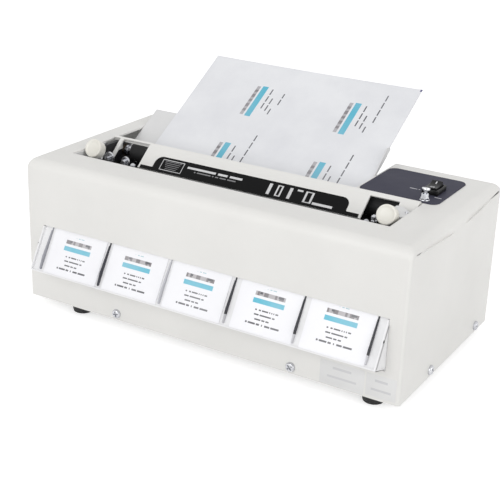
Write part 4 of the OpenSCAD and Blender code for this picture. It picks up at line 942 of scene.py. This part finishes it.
def makeFloor(s):
    # White floor whose own glow, for the shown rays only, keeps it white while the shadow still shows
    half, grey = s["floorSize"] / 2, s["floorGrey"]
    mesh = bpy.data.meshes.new("floor")
    mesh.from_pydata([(-half, -half, 0), (half, -half, 0), (half, half, 0), (-half, half, 0)], [], [(0, 1, 2, 3)])
    obj = linkObject("floor", mesh)
    material, tree, shader = newMaterial("floorWhite", {"Base Color": (grey, grey, grey, 1), "Roughness": 0.9,
                                                        "Specular IOR Level": 0.1})
    strength = mathNode(tree, "MULTIPLY", shownRays(tree), s["floorGlow"])
    glow = addNode(tree, "Emission", {"Color": (1, 1, 1, 1), "Strength": strength})
    both = addNode(tree, "AddShader", {0: shader.outputs[0], 1: glow.outputs[0]})
    tree.links.new(both.outputs[0], tree.nodes["Material Output"].inputs["Surface"])
    mesh.materials.append(material)


def makeWorld(s):
    # Even white light; camera, mirror and glass rays see full white
    world = bpy.data.worlds.new("studio")
    bpy.context.scene.world = world
    world.use_nodes = True
    tree = world.node_tree
    back = tree.nodes["Background"]
    back.inputs["Color"].default_value = (1, 1, 1, 1)
    strength = mathNode(tree, "MULTIPLY_ADD", shownRays(tree), 1.0 - s["worldLight"], s["worldLight"])
    tree.links.new(strength, back.inputs["Strength"])


def makeLamps(s):
    # Square lamps that face the machine
    for name, place, size, power in s["lamps"]:
        lamp = bpy.data.lights.new(name, "AREA")
        lamp.shape, lamp.size, lamp.energy = "SQUARE", size, power
        turn = (Vector(s["target"]) - Vector(place)).to_track_quat("-Z", "Y").to_euler()
        setAll(linkObject(name, lamp), dict(location=place, rotation_euler=turn))


camera = dict(focal=1157.18, azimuth=30.34, elevation=22.15, roll=2.02, right=-5.50, up=48.84, distance=1000.34,
              imageSize=500.0, sensor=36.0)


def makeCamera(s):
    # Fitted to the photograph: direction from azimuth and elevation, a small roll, and the offsets of its axis
    azimuth, elevation, roll = (math.radians(s[key]) for key in ("azimuth", "elevation", "roll"))
    level = math.cos(elevation)
    back = Vector((math.sin(azimuth) * level, -math.cos(azimuth) * level, math.sin(elevation)))
    right = (-back).cross(Vector((0, 0, 1))).normalized()
    up = right.cross(-back)
    turnedRight = math.cos(roll) * right + math.sin(roll) * up
    turnedUp = -math.sin(roll) * right + math.cos(roll) * up
    spot = turnedRight * s["right"] + turnedUp * s["up"] + back * s["distance"] + Vector((0, shiftY, footZ))
    data = bpy.data.cameras.new("camera")
    data.sensor_width = s["sensor"]
    data.lens = s["focal"] / s["imageSize"] * s["sensor"]
    obj = linkObject("camera", data)
    obj.matrix_world = Matrix.Translation(spot * mm) @ Matrix((turnedRight, turnedUp, back)).transposed().to_4x4()
    bpy.context.scene.camera = obj


makeFloor(studio)
makeWorld(studio)
makeLamps(studio)
makeCamera(camera)
bpy.context.scene.view_settings.view_transform = "Standard"
print("stage, light and camera made")
